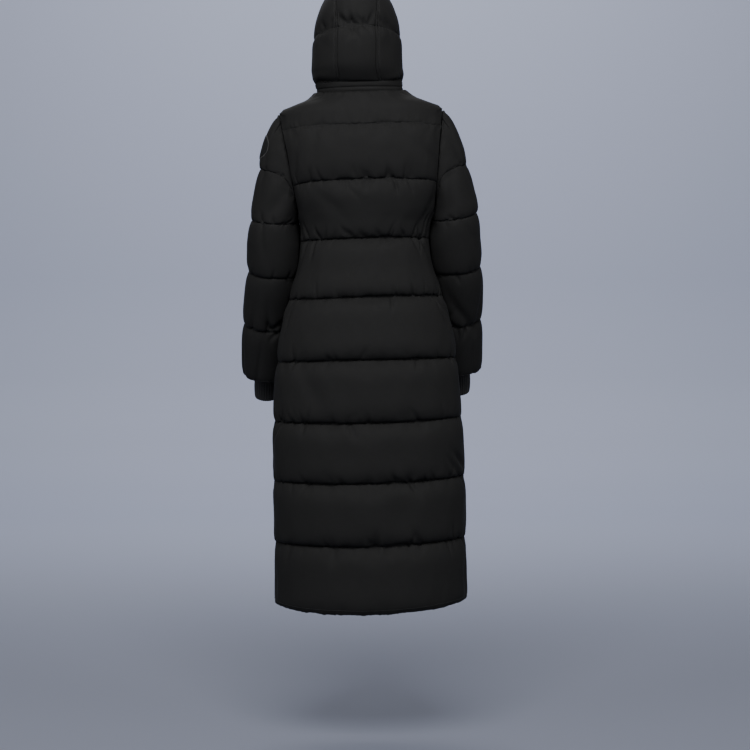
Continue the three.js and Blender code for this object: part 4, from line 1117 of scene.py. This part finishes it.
def hood_point(u, row):
    """A point of the hood's surface, round each row from the centre to the brim at -1 and 1."""
    u, row = np.broadcast_arrays(u, row)
    turn = np.abs(u)
    widest = side_turn(row)
    p = 2 / hood["round"](row)
    half = hood["half"](row)
    a = np.minimum(turn / widest, 1) * math.pi / 2
    c = power(np.cos(a), p)
    x1 = half * power(np.sin(a), p)
    y1 = lerp(hood["midY"](row), hood["backY"](row), c)
    z1 = lerp(hood["midZ"](row), hood["backZ"](row), c)
    b = np.clip((turn - widest) / (1 - widest), 0, 1) * math.pi / 2
    x2 = lerp(hood["edge"](row), half, np.cos(b))
    y2 = lerp(hood["midY"](row), hood["edgeY"](row), np.sin(b))
    z2 = lerp(hood["midZ"](row), hood["edgeZ"](row), np.sin(b))
    near = turn <= widest
    q = np.stack([np.sign(u) * np.where(near, x1, x2), np.where(near, y1, y2), np.where(near, z1, z2)], -1)
    pull = np.clip(1 - row, 0, 1)[..., None] ** 2
    return q + (band_top(u, BAND_WALL) - q) * pull


def centre_edge(row):
    """Where round a row the centre panel's seam lies."""
    a = np.arcsin((CENTRE_PANEL_HALF / hood["half"](row)) ** (hood["round"](row) / 2))
    return side_turn(row) * a / (math.pi / 2)


def hood_steps(side, columns):
    """Column positions, closer together beside the seam of a side panel."""
    return np.linspace(0, 1, columns + 1)[None] ** (1 if side == 0 else SIDE_STEPS_POWER)


def hood_grid(side, rows, columns, wall=None):
    """Points of a panel of the hood: the lining, or the outer cloth if its thickness is given."""
    edge = centre_edge(rows)[:, None]
    t = hood_steps(side, columns)
    u = lerp(-edge, edge, t) if side == 0 else side * lerp(edge, 1, t)
    p = hood_point(u, rows[:, None])
    if wall is not None:
        n = outward(p, middle=HOOD_MIDDLE)
        p = p + n * wall(edge_distance(p))[..., None]
        p[0] = band_top(u[0], HOOD_ON_BAND)
    seam = CENTRE_PANEL_HALF - GAP / 2
    if side == 0:
        p[:, 0, 0], p[:, -1, 0] = -seam, seam
    else:
        p[:, 0, 0] = side * seam
    return p, u


hood_bands = list(zip(HOOD_LINES, HOOD_LINES[1:], HOOD_LENGTHS))
hood_rows, hood_channel, hood_share = rows_of(hood_bands, HOOD_PITCH)
hood_panels = []
for name, side, columns, width in (
        ("hood_centre", 0, 24, 100), ("hood_left", 1, 44, 200), ("hood_right", -1, 44, 200)):
    turn = lerp(centre_edge(hood_rows)[:, None], 1, hood_steps(side, columns)) * (side != 0)
    at_side = np.exp(-((turn / side_turn(hood_rows[:, None]) - 1) / HOOD_SIDE_WIDTH) ** 2)

    def wall(beside):
        """Thickness of the hood. It is thinner at its seams, foot, sides and brim."""
        held = lerp(HOOD_SEAM_HOLD, 1, np.clip(beside / HOOD_SEAM_REACH, 0, 1) ** 0.5)
        held = held * (1 - HOOD_SIDE_LOSS * at_side)
        foot = FOOT_SHARE + (1 - FOOT_SHARE) * even(hood_rows, FOOT_ROWS)[:, None]
        brim = np.where(hood_rows > HOOD_LINES[2], 1, BRIM_LOW_SHARE)[:, None]
        brim = even(turn - BRIM_FROM, BRIM_OVER) * brim
        corner = brim * even(hood_rows - CORNER_FROM, CORNER_OVER)[:, None]
        flat = HOOD_WALL * (1 - BRIM_WALL_LOSS * brim - BRIM_WALL_LOSS * corner)
        puff = HOOD_PUFF * foot * swell(hood_share)[:, None] * held
        return flat + puff * (1 - BRIM_PUFF_LOSS * brim)

    points, u = hood_grid(side, hood_rows, columns, wall)
    pinned = np.zeros(points.shape[:2])
    pinned[np.isin(hood_rows, HOOD_LINES)] = 1
    pinned[:, [0, -1]] = 1
    lining, _ = hood_grid(side, np.linspace(0, HOOD_LINES[-1], 33), columns // 2)
    hood_panels.append({"name": name, "outer": points, "pinned": pinned, "u": u, "lining": lining,
                        "width": width})

inflated = inflate([(p["outer"], p["pinned"], False) for p in hood_panels])
beside = from_line(hood_channel, hood_share, HOOD_LENGTHS)
for panel, shape in zip(hood_panels, inflated):
    n = outward(panel["outer"], middle=HOOD_MIDDLE)
    panel["outer"] = eased(panel["outer"], shape, n, beside, False, 4.0)

hood_puckers = puckers([HOOD_ROW * row for row in HOOD_LINES[1:-1]], 0.45, 9) + puckers([3.0], 0.9, 12)
hood_creases = creases_by_row(HOOD_CREASES, HOOD_ROW) + hood_puckers
for panel in hood_panels:
    points, u = finer(panel["outer"]), finer(panel["u"])
    loose = gathers(hood_channel, hood_share, HOOD_LENGTHS, points.shape[1], panel["width"], False, 10, 2.0)
    creased = crease_depth(u, HOOD_ROW * hood_rows[:, None], hood_creases, HOOD_RADIUS)
    held = (np.where(np.isin(hood_rows, HOOD_LINES), HELD_ON_LINE, 1.0) * even(hood_rows, 0.3))[:, None]
    beside = edge_distance(points)
    shift = (loose - creased) * held * np.clip(beside / HOOD_SEAM_FADE, 0, 1)
    if panel["name"] != "hood_centre":
        shift = shift - TOPSTITCH_GROOVE * np.exp(-((beside - TOPSTITCH) / TOPSTITCH_WIDTH) ** 2)
    panel["outer"] = points + outward(points, middle=HOOD_MIDDLE) * shift[..., None]
    foot = band_top(u[0], HOOD_ON_BAND)[:, 2]
    panel["outer"][1:, :, 2] = np.maximum(panel["outer"][1:, :, 2], foot)
    made = padded_shell(panel["name"] + "_cloth", settle(panel["outer"]), settle(panel["lining"]))
    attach(made, "coat")
    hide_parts(panel["name"])
    made.data.materials.append(shell.material)

# Stitching: lockstitches of black thread in the quilt grooves, round the hem and brim, and
# beside the crown seams. Each stitch is a short hump of thread.
STITCH, THREAD, STITCH_LIFT, HEM_STITCH_RISE, END_STITCH_ROW = 3.6, 0.32, 0.2, 14, 4
STITCH_RINGS = [
    (-0.46, -0.55, 0.5), (-0.34, 0.35, 0.9), (0.0, 0.75, 1.0), (0.34, 0.35, 0.9), (0.46, -0.55, 0.5),
]
STITCH_SIDES = 5
UNEVEN_LEAST, UNEVEN_MOST = (0.94, 0.94, 0.94), (1.03, 1.06, 1.04)
thread = Finish("black_thread", (0.012, 0.012, 0.013), 0.6)


def stacked_rings(count, sides):
    """The faces of a closed body of rings of points, one over the other, with flat ends."""
    quads = []
    for i in range(0, sides * (count - 1), sides):
        for k in range(sides):
            after = (k + 1) % sides
            quads.append((i + k, i + after, i + sides + after, i + sides + k))
    return quads + [tuple(range(sides))[::-1], tuple(range(sides * (count - 1), sides * count))]


def unit_stitch():
    """One stitch of length 1 along X, with its ends turned down into the cloth."""
    points = []
    for x, rise, size in STITCH_RINGS:
        for k in range(STITCH_SIDES):
            turn = 2 * math.pi * k / STITCH_SIDES
            points.append((x, size * math.cos(turn), rise + size * math.sin(turn)))
    return points, stacked_rings(len(STITCH_RINGS), STITCH_SIDES)


def scatter_tree(material):
    """Puts a copy of one unit on each point, turned to the point's own along and out vectors."""
    tree = bpy.data.node_groups.new("lay_units", "GeometryNodeTree")
    face = tree.interface
    face.new_socket("Geometry", in_out="INPUT", socket_type="NodeSocketGeometry")
    unit_in = face.new_socket("Unit", in_out="INPUT", socket_type="NodeSocketObject")
    size_in = face.new_socket("Size", in_out="INPUT", socket_type="NodeSocketVector")
    seed_in = face.new_socket("Seed", in_out="INPUT", socket_type="NodeSocketInt")
    face.new_socket("Geometry", in_out="OUTPUT", socket_type="NodeSocketGeometry")
    nodes, links = tree.nodes, tree.links
    given, done = nodes.new("NodeGroupInput"), nodes.new("NodeGroupOutput")
    unit_node = nodes.new("GeometryNodeObjectInfo")
    links.new(given.outputs["Unit"], unit_node.inputs["Object"])
    turn = None
    for name, axis in (("along", "X"), ("out", "Z")):
        vector = nodes.new("GeometryNodeInputNamedAttribute")
        vector.data_type = "FLOAT_VECTOR"
        vector.inputs["Name"].default_value = name
        align = nodes.new("FunctionNodeAlignRotationToVector")
        align.axis = axis
        links.new(vector.outputs["Attribute"], align.inputs["Vector"])
        if turn is not None:
            align.pivot_axis = "X"
            links.new(turn, align.inputs["Rotation"])
        turn = align.outputs["Rotation"]
    chance = nodes.new("FunctionNodeRandomValue")
    chance.data_type = "FLOAT_VECTOR"
    chance.inputs["Min"].default_value = UNEVEN_LEAST
    chance.inputs["Max"].default_value = UNEVEN_MOST
    links.new(given.outputs["Seed"], chance.inputs["Seed"])
    sized = nodes.new("ShaderNodeVectorMath")
    sized.operation = "MULTIPLY"
    links.new(given.outputs["Size"], sized.inputs[0])
    links.new(chance.outputs[0], sized.inputs[1])
    laid = nodes.new("GeometryNodeInstanceOnPoints")
    links.new(given.outputs["Geometry"], laid.inputs["Points"])
    links.new(unit_node.outputs["Geometry"], laid.inputs["Instance"])
    links.new(turn, laid.inputs["Rotation"])
    links.new(sized.outputs[0], laid.inputs["Scale"])
    real = nodes.new("GeometryNodeRealizeInstances")
    paint = nodes.new("GeometryNodeSetMaterial")
    paint.inputs["Material"].default_value = material
    links.new(laid.outputs["Instances"], real.inputs["Geometry"])
    links.new(real.outputs["Geometry"], paint.inputs["Geometry"])
    links.new(paint.outputs["Geometry"], done.inputs["Geometry"])
    return tree, (unit_in.identifier, size_in.identifier, seed_in.identifier)


def lay_units(name, spots, along, out, unit_object, size, tree, sockets, seed=3):
    """A plain mesh of one unit at each spot, in millimetres, facing along and out."""
    source = mesh_of(name, spots, [])
    for label, values in (("along", along), ("out", out)):
        layer = source.attributes.new(label, "FLOAT_VECTOR", "POINT")
        layer.data.foreach_set("vector", np.ascontiguousarray(values, dtype=np.float32).ravel())
    made = in_scene(name, source)
    layer = made.modifiers.new("lay_units", "NODES")
    layer.node_group = tree
    for socket, value in zip(sockets, (unit_object, size, seed)):
        layer[socket] = value
    graph = bpy.context.evaluated_depsgraph_get()
    plain = bpy.data.meshes.new_from_object(made.evaluated_get(graph))
    made.modifiers.remove(layer)
    made.data = plain
    bpy.data.meshes.remove(source)
    return made


def points_at(at, run, line):
    """The points of a line at these distances along it."""
    return np.stack([np.interp(at, run, line[:, k]) for k in range(3)], -1)


def even_walk(line, pitch, margin=4.0):
    """Spots an even pitch apart along a line of points, with the line's direction at each."""
    steps = np.linalg.norm(np.diff(line, axis=0), axis=-1)
    run = np.concatenate([[0], np.cumsum(steps)])
    at = np.arange(margin, run[-1] - margin, pitch)
    way = unit(points_at(at + 0.5, run, line) - points_at(at - 0.5, run, line))
    return points_at(at, run, line), way, at / run[-1]


def nearest(rows, value):
    return int(np.argmin(np.abs(rows - value)))


stitch_object = bpy.data.objects.new("stitch", smoothed(mesh_of("stitch", *unit_stitch(), 1)))
stitch_tree, stitch_sockets = scatter_tree(thread.material)


def stitch_rows(placed, rows, wrap=False):
    """The lines of stitches along rows of a piece's grid, with the cloth's outward direction."""
    n = outward(placed, wrap)
    for i in rows:
        line = placed[i] + n[i] * STITCH_LIFT
        if wrap:
            line = np.concatenate([line, line[:1]])
        yield line, np.concatenate([n[i], n[i][:1]]) if wrap else n[i]


def stitched(name, lines):
    """All the stitches of one piece. A line is its points and the cloth's outward direction."""
    spots, along, out = [], [], []
    for line, facing in lines:
        at, way, share = even_walk(line, STITCH)
        spots.append(at)
        along.append(way)
        out.append(points_at(share, np.linspace(0, 1, len(facing)), facing))
    made = lay_units(name, np.concatenate(spots), np.concatenate(along), np.concatenate(out), stitch_object,
                     (STITCH * MM, THREAD * MM, THREAD * MM), stitch_tree, stitch_sockets)
    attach(made, "coat")
    return made


def topstitch(placed):
    """The lines of stitches beside a side panel's seam and its brim."""
    run = np.cumsum(np.linalg.norm(np.diff(placed, axis=1), axis=-1), 1)
    run = np.concatenate([np.zeros((len(placed), 1)), run], 1)
    n = outward(placed, middle=HOOD_MIDDLE)
    for way in (TOPSTITCH, -TOPSTITCH):
        line, facing = [], []
        for k in range(1, len(placed) - 1):
            at = way % run[k, -1]
            line.append(points_at(at, run[k], placed[k]))
            facing.append(points_at(at, run[k], n[k]))
        yield np.array(line) + np.array(facing) * STITCH_LIFT, np.array(facing)


for panel in body_panels:
    placed = settle(panel["outer"])
    rows = [nearest(body_level, z) for z in [*QUILT_Z[1:-1], QUILT_Z[-1] + HEM_STITCH_RISE]]
    stitched(panel["name"] + "_stitches", list(stitch_rows(placed, rows)))
for sleeve in sleeves:
    rows = [nearest(sleeve_rows, line) for line in SLEEVE_LINES[1:-1]] + [len(sleeve_rows) - END_STITCH_ROW]
    stitched("sleeve_" + sleeve["side"] + "_stitches", list(stitch_rows(sleeve["placed"], rows, True)))
for panel in hood_panels:
    placed = settle(panel["outer"])
    rows = [nearest(hood_rows, line) for line in HOOD_LINES[1:-1]] + [len(hood_rows) - END_STITCH_ROW]
    lines = list(stitch_rows(placed, rows))
    if panel["name"] != "hood_centre":
        lines += list(topstitch(placed))
    stitched(panel["name"] + "_stitches", lines)

# Zip tapes: two woven polyester tapes sewn behind the edges of the fronts and the neck band.
# They meet at the centre front and carry the teeth along their edges.
CHAIN_HALF, TAPE_HALF, TAPE_WALL, TAPE_SET_BACK = 3.4, 18.0, 1.2, 2 * GAP
TAPE_FRONT = [GAP / 2, 1.2, 2.6, CHAIN_HALF, 6, 12, TAPE_HALF]
TAPE_BEHIND = [GAP / 2, 6, TAPE_HALF]
TAPE_BEAD, BEAD_HALF, BAND_STEP, FRONT_STEP = 0.5, 2, 4 / 36, 1 / 6
tape_finish = Finish("black_zip_tape", (0.011, 0.011, 0.012), 0.8, Sheen_Weight=0.1)
on_tape = tape_finish.node("ShaderNodeTexCoord", output=2)
ribs = tape_finish.node("ShaderNodeTexWave", {"bands_direction": "DIAGONAL"}, output=1,
                        Vector=on_tape, Scale=420)
tape_finish.bump(ribs, 0.5, 0.0002)


def zip_stations():
    """The edge of the front's lining and a point further in, from the band's top to the hem."""
    end, wall = np.array([band_end]), np.array([BAND_WALL])
    pairs = []
    for step in (1, 0):
        near = band_point(end, step, wall)[0]
        near[0] = ZIP_SLOT_HALF
        pairs.append((near, band_point(end * (1 - BAND_STEP), step, wall)[0]))
    levels = np.concatenate([lerp(a, b, np.arange(1, 5) / 4) for a, b in zip(QUILT_Z, QUILT_Z[1:])])
    for z in levels:
        edge = math.pi - angle_to(ZIP_SLOT_HALF, height_at(math.pi, z))
        turn = np.array([edge, lerp(edge, float(seam_angle(np.array([z]))[0]), FRONT_STEP)])
        near, far = body_point(turn, np.array([z, z]))
        pairs.append((near, far))
    return np.array(pairs)


stations = zip_stations()


def tape_line(side, x, proud):
    """A line down the tape, that far from the zip's middle and proud of the front's lining."""
    near, far = stations[:, 0], stations[:, 1]
    t = (x - np.abs(near[:, 0])) / np.abs(far[:, 0] - near[:, 0])
    p = near + (far - near) * t[:, None]
    return np.stack([side * x + 0 * t, p[:, 1] - proud, p[:, 2]], -1)


for name, side in (("zip_tape_left", 1), ("zip_tape_right", -1)):
    front = np.stack([tape_line(side, x, (TAPE_BEAD if x < BEAD_HALF else 0) - TAPE_SET_BACK)
                      for x in TAPE_FRONT], 1)
    behind = np.stack([tape_line(side, x, -TAPE_SET_BACK - TAPE_WALL) for x in TAPE_BEHIND], 1)
    if side < 0:
        front, behind = front[:, ::-1], behind[:, ::-1]
    front, behind = front[:, ::-1], behind[:, ::-1]
    tape = padded_shell(name + "_cloth", settle(front), settle(behind))
    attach(tape, "coat")
    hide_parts(name)
    tape.data.materials.append(tape_finish.material)

# Zip teeth: moulded one by one on the edges of the tapes, glossy black. Each head sits between
# two heads of the other side, as the zip is closed to the top.
TOOTH_PITCH, TOOTH_MIDDLE, CHAIN_PROUD = 3.0, 1.2, 1.5
TOOTH_HALF = [(-0.9, 0.4), (-0.6, 0.6), (0.9, 0.6), (1.15, 0.92), (3.05, 0.92), (3.3, 0.7)]
TOOTH_RINGS = [(-0.4, 1.0), (1.1, 1.0), (CHAIN_PROUD, 0.8)]
tooth_finish = Finish("black_moulded_teeth", (0.013, 0.013, 0.014), 0.32)


def unit_tooth():
    """A moulded tooth: its head past the chain's middle at -X, its foot on the tape."""
    outline = [(x, -y) for x, y in TOOTH_HALF] + TOOTH_HALF[::-1]
    points = [(TOOTH_MIDDLE + (x - TOOTH_MIDDLE) * size, y * size, z)
              for z, size in TOOTH_RINGS for x, y in outline]
    return points, stacked_rings(len(TOOTH_RINGS), len(outline))


tooth_object = bpy.data.objects.new("tooth", smoothed(mesh_of("tooth", *unit_tooth())))
tooth_tree, tooth_sockets = scatter_tree(tooth_finish.material)
chain_line = settle(tape_line(1, 0.0, 0.0))
for name, side, start in (("zip_teeth_left", 1, TOOTH_PITCH), ("zip_teeth_right", -1, TOOTH_PITCH * 1.5)):
    spots, along, _ = even_walk(chain_line, TOOTH_PITCH, start)
    out = np.tile([0.0, -1.0, 0.0], (len(spots), 1))
    across = np.tile([float(side), 0.0, 0.0], (len(spots), 1))
    teeth = lay_units(name, spots, across, out, tooth_object, (1.0, 1.0, 1.0), tooth_tree, tooth_sockets)
    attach(teeth, "coat")

# Slider: a die-cast metal body in black lacquer that runs over the teeth, with two ears that
# hold the pull tab's pin. It stands at the top of the closed zip.
SLIDER_LENGTH, SLIDER_WALL, SLIDER_Z, SLIDER_CHAMFER, SLIDER_CLEAR = 16.0, 2.2, -25.0, 0.5, 5.5 * GAP
SLIDER_HALF_OUTLINE = [(0, -8.0), (3.0, -7.9), (3.6, -7.2), (3.9, -5.0), (4.6, -2.0), (5.0, 2.0), (4.9, 7.0),
                       (4.2, 7.9), (0, 8.0)]
EAR_FROM, EAR_TO, EAR_PROUD, EAR_LENGTH = 2.9, 4.3, 4.0, 5.0
metal_finish = Finish("black_lacquered_metal", (0.03, 0.03, 0.032), 0.3, Metallic=0.85)
worn = metal_finish.node("ShaderNodeTexNoise", Vector=metal_finish.node("ShaderNodeTexCoord", output=3),
                         Scale=900)
metal_finish.feed("Roughness", worn * 0.16 + 0.22)


def plate(name, loops, thickness, chamfer, centre):
    """A flat piece across X and Z, its front to -Y. A second outline is cut out of the first."""
    n = len(loops[0])
    points, faces = [], []
    half = thickness / 2
    layers = [(-half, chamfer), (-half + chamfer, 0), (half - chamfer, 0), (half, chamfer)]
    for k, loop in enumerate(loops):
        loop = np.array(loop, float)
        middle = loop.mean(0)
        reach = np.linalg.norm(loop - middle, axis=1, keepdims=True)
        for y, inset in layers:
            away = loop + (loop - middle) / reach * (inset if k else -inset)
            points += [(x, y, z) for x, z in away]
    for k in range(len(loops)):
        first = 4 * n * k
        for i in range(3):
            for j in range(n):
                quad = (first + n * i + j, first + n * i + (j + 1) % n,
                        first + n * (i + 1) + (j + 1) % n, first + n * (i + 1) + j)
                faces.append(quad if k else quad[::-1])
    for layer, flip in ((0, False), (3, True)):
        a = [n * layer + j for j in range(n)]
        if len(loops) > 1:
            b = [4 * n + n * layer + j for j in range(n)]
            for j in range(n):
                quad = (a[j], a[(j + 1) % n], b[(j + 1) % n], b[j])
                faces.append(quad[::-1] if flip else quad)
        else:
            faces.append(tuple(a[::-1]) if flip else tuple(a))
    return in_scene(name, mesh_of(name, np.array(points) + np.array(centre), faces))


def joined(name, pieces):
    """One object from several, at the world's origin."""
    whole = bmesh.new()
    for piece in pieces:
        whole.from_mesh(piece.data)
        bpy.data.objects.remove(piece)
    mesh = bpy.data.meshes.new(name)
    bmesh.ops.recalc_face_normals(whole, faces=whole.faces)
    whole.to_mesh(mesh)
    whole.free()
    return in_scene(name, mesh)


def round_bar(name, start, end, radius, sides=20):
    """A bar between two points with its rims eased."""
    a, b = np.array(start, float), np.array(end, float)
    way = unit(b - a)
    up = unit(np.cross(way, [0.3, 0.2, 1.0]))
    over = np.cross(way, up)
    length = np.linalg.norm(b - a)
    ease = radius * 0.25
    points = []
    for along, size in ((0, radius - ease), (ease, radius), (length - ease, radius), (length, radius - ease)):
        for k in range(sides):
            turn = 2 * math.pi * k / sides
            points.append(a + way * along + (up * math.cos(turn) + over * math.sin(turn)) * size)
    return in_scene(name, mesh_of(name, points, stacked_rings(4, sides)))


band_foot = band_point(np.array([math.pi]), 0.0, np.array([BAND_WALL]))[0]
band_head = band_point(np.array([math.pi]), 1.0, np.array([BAND_WALL]))[0]
slider_rise = (SLIDER_Z + SLIDER_LENGTH / 2 - band_foot[2]) / (band_head[2] - band_foot[2])
slider_back = lerp(band_foot[1], band_head[1], slider_rise) - CHAIN_PROUD - SLIDER_CLEAR
slider_x = float(sway(SLIDER_Z))
pin_y = slider_back - SLIDER_WALL - EAR_PROUD / 2
pin_z = SLIDER_Z + SLIDER_LENGTH / 2 - EAR_LENGTH / 2
slider_outline = SLIDER_HALF_OUTLINE + [(-x, z) for x, z in SLIDER_HALF_OUTLINE[-2:0:-1]]
parts = [plate("plate", [slider_outline], SLIDER_WALL, SLIDER_CHAMFER,
               (slider_x, slider_back - SLIDER_WALL / 2, SLIDER_Z))]
for hand in (-1, 1):
    parts.append(round_bar("ear", (slider_x + hand * EAR_FROM, pin_y, pin_z),
                           (slider_x + hand * EAR_TO, pin_y, pin_z), EAR_LENGTH / 2))
slider = joined("zip_slider_body", parts)
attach(slider, "coat")
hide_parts("zip_slider")
slider.data.materials.append(metal_finish.material)

# Pull tab: a lacquered metal tab with a slot near its end, on a short stem whose pin turns
# between the slider's ears.
PIN_RADIUS, TAB_HALF, TAB_LENGTH, TAB_WALL, TAB_CLEARANCE = 1.1, 3.2, 18.0, 1.6, 3.6
TAB_CHAMFER, TAB_CORNER, SLOT_HALF, SLOT_CORNER, SLOT_DOWN = 0.35, 2.6, 2.5, 1.3, -4.0
STEM_HALF, STEM_CORNER = 2.6, 0.6


def round_box(half_x, half_z, corner, steps=6, shift=0.0):
    """The outline of a rectangle with round corners, anticlockwise seen from the front."""
    spots = []
    for cx, cz, start in ((1, 1, 0), (-1, 1, 1), (-1, -1, 2), (1, -1, 3)):
        for i in range(steps + 1):
            turn = (start + i / steps) * math.pi / 2
            spots.append((cx * (half_x - corner) + corner * math.cos(turn),
                          cz * (half_z - corner) + corner * math.sin(turn) + shift))
    return spots


tab_middle = pin_z - TAB_CLEARANCE - TAB_LENGTH / 2
tab_edge = round_box(TAB_HALF, TAB_LENGTH / 2, TAB_CORNER)
tab_slot = round_box(TAB_HALF / 2, SLOT_HALF, SLOT_CORNER, shift=SLOT_DOWN)
tab = plate("tab", [tab_edge, tab_slot], TAB_WALL, TAB_CHAMFER, (slider_x, pin_y, tab_middle))
pin_half = EAR_FROM - GAP
stem = plate("stem", [round_box(pin_half, STEM_HALF, STEM_CORNER)], TAB_WALL, TAB_CHAMFER,
             (slider_x, pin_y, pin_z - STEM_HALF))
pin = round_bar("pin", (slider_x - pin_half, pin_y, pin_z), (slider_x + pin_half, pin_y, pin_z), PIN_RADIUS)
pull = joined("zip_pull_tab", [tab, stem, pin])
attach(pull, "pull")
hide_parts("zip_pull")
pull.data.materials.append(metal_finish.material)

# Patch: a plain round woven badge with a merrowed rim of pale thread, sewn to the left upper
# sleeve. It carries no mark.
PATCH_RADIUS, PATCH_WALL, PATCH_ANGLE, PATCH_ROW = 29.0, 1.4, 0.16, 0.52
PATCH_RINGS, PATCH_SPOKES, PATCH_FOLLOWS, PATCH_ROUNDNESS = 12, 72, 0.85, 12
ROWS_NEAR, COLUMNS_NEAR, RAY_FROM, RAY_REACH = 5, 8, 40, 0.1
RIM_PITCH, RIM_START, RIM_SLANT, RIM_UNIT = 0.95, 0.5, 3.2, (2.2, 0.52, 0.6)
patch_finish = Finish("dark_badge_twill", (0.009, 0.0093, 0.01), 0.85, Specular_IOR_Level=0.12)
on_patch = patch_finish.node("ShaderNodeTexCoord", output=3)
twill = patch_finish.node("ShaderNodeTexWave", {"bands_direction": "DIAGONAL"}, output=1,
                          Vector=on_patch, Scale=330)
patch_finish.bump(twill, 0.5, 0.0003)
rim_finish = Finish("pale_rim_thread", (0.07, 0.07, 0.071), 0.8, Specular_IOR_Level=0.2)
left_cloth = sleeves[0]["placed"]
patch_row = nearest(sleeve_rows, PATCH_ROW)
patch_column = (2 * SLEEVE_COUNT - 1 - round(PATCH_ANGLE / math.pi * SLEEVE_COUNT)) % (2 * SLEEVE_COUNT)
centre = left_cloth[patch_row, patch_column]
near = left_cloth[patch_row - ROWS_NEAR:patch_row + ROWS_NEAR + 1,
                  patch_column - COLUMNS_NEAR:patch_column + COLUMNS_NEAR + 1].reshape(-1, 3)
_, _, turned = np.linalg.svd(near - near.mean(0))
normal = turned[2] * np.sign(turned[2] @ (centre - left_cloth[patch_row].mean(0)))
across = unit(np.cross([0, 0, 1.0], normal))
up = np.cross(normal, across)
cloth_tree = BVHTree.FromObject(sleeves[0]["piece"], bpy.context.evaluated_depsgraph_get())
local, heights = [], []
for ring in range(PATCH_RINGS + 1):
    for spoke in range(PATCH_SPOKES):
        turn = 2 * math.pi * spoke / PATCH_SPOKES
        reach = PATCH_RADIUS * ring / PATCH_RINGS
        a, b = reach * math.cos(turn), reach * math.sin(turn)
        start = centre + across * a + up * b + normal * RAY_FROM
        *_, distance = cloth_tree.ray_cast(Vector(start * MM), Vector(-normal), RAY_REACH)
        local.append((a, b))
        heights.append(RAY_FROM - distance / MM)
local, heights = np.array(local), np.array(heights)
shape = np.stack([np.ones(len(local)), local[:, 0], local[:, 1], local[:, 0] ** 2,
                  local[:, 0] * local[:, 1], local[:, 1] ** 2], 1)
fit, *_ = np.linalg.lstsq(shape, heights, rcond=None)
level = lerp(shape @ fit, heights, PATCH_FOLLOWS)
level = level + max(0.0, float((heights - level).max())) * 0.5 + 0.1


def on_badge(height):
    """The badge's grid, laid on the sleeve and raised."""
    flat = centre + local[:, :1] * across + local[:, 1:] * up
    return (flat + (level + height)[:, None] * normal).reshape(PATCH_RINGS + 1, PATCH_SPOKES, 3)


outness = np.linalg.norm(local, axis=1) / PATCH_RADIUS
dome = PATCH_WALL * np.sqrt(np.clip(1 - outness ** PATCH_ROUNDNESS, 0, 1))
badge_top, badge_foot = on_badge(dome), on_badge(-1.0)
points = [badge_top[1:].reshape(-1, 3), badge_foot[1:].reshape(-1, 3), badge_top[0, :1], badge_foot[0, :1]]
faces, n, s = [], PATCH_RINGS * PATCH_SPOKES, PATCH_SPOKES
for i in range(PATCH_RINGS - 1):
    for k in range(s):
        a, b = i * s + k, i * s + (k + 1) % s
        faces += [(a, a + s, b + s, b), (n + b, n + b + s, n + a + s, n + a)]
for k in range(s):
    a, b, last = k, (k + 1) % s, n - s
    faces += [(2 * n, a, b), (2 * n + 1, n + b, n + a), (last + a, n + last + a, n + last + b, last + b)]
badge = in_scene("sleeve_badge", smoothed(mesh_of("sleeve_badge", np.concatenate(points), faces)))
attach(badge, "coat")
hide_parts("sleeve_patch")
badge.data.materials.append(patch_finish.material)

rim_line = np.concatenate([badge_top[-1], badge_top[-1][:1]])
rim_tree, rim_sockets = scatter_tree(rim_finish.material)
spots, along, _ = even_walk(rim_line, RIM_PITCH, RIM_START)
slanted = unit(along + np.cross(along, normal) * RIM_SLANT)
rim = lay_units("sleeve_badge_rim", spots, slanted, np.tile(normal, (len(spots), 1)), stitch_object,
                [size * MM for size in RIM_UNIT], rim_tree, rim_sockets)
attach(rim, "coat")
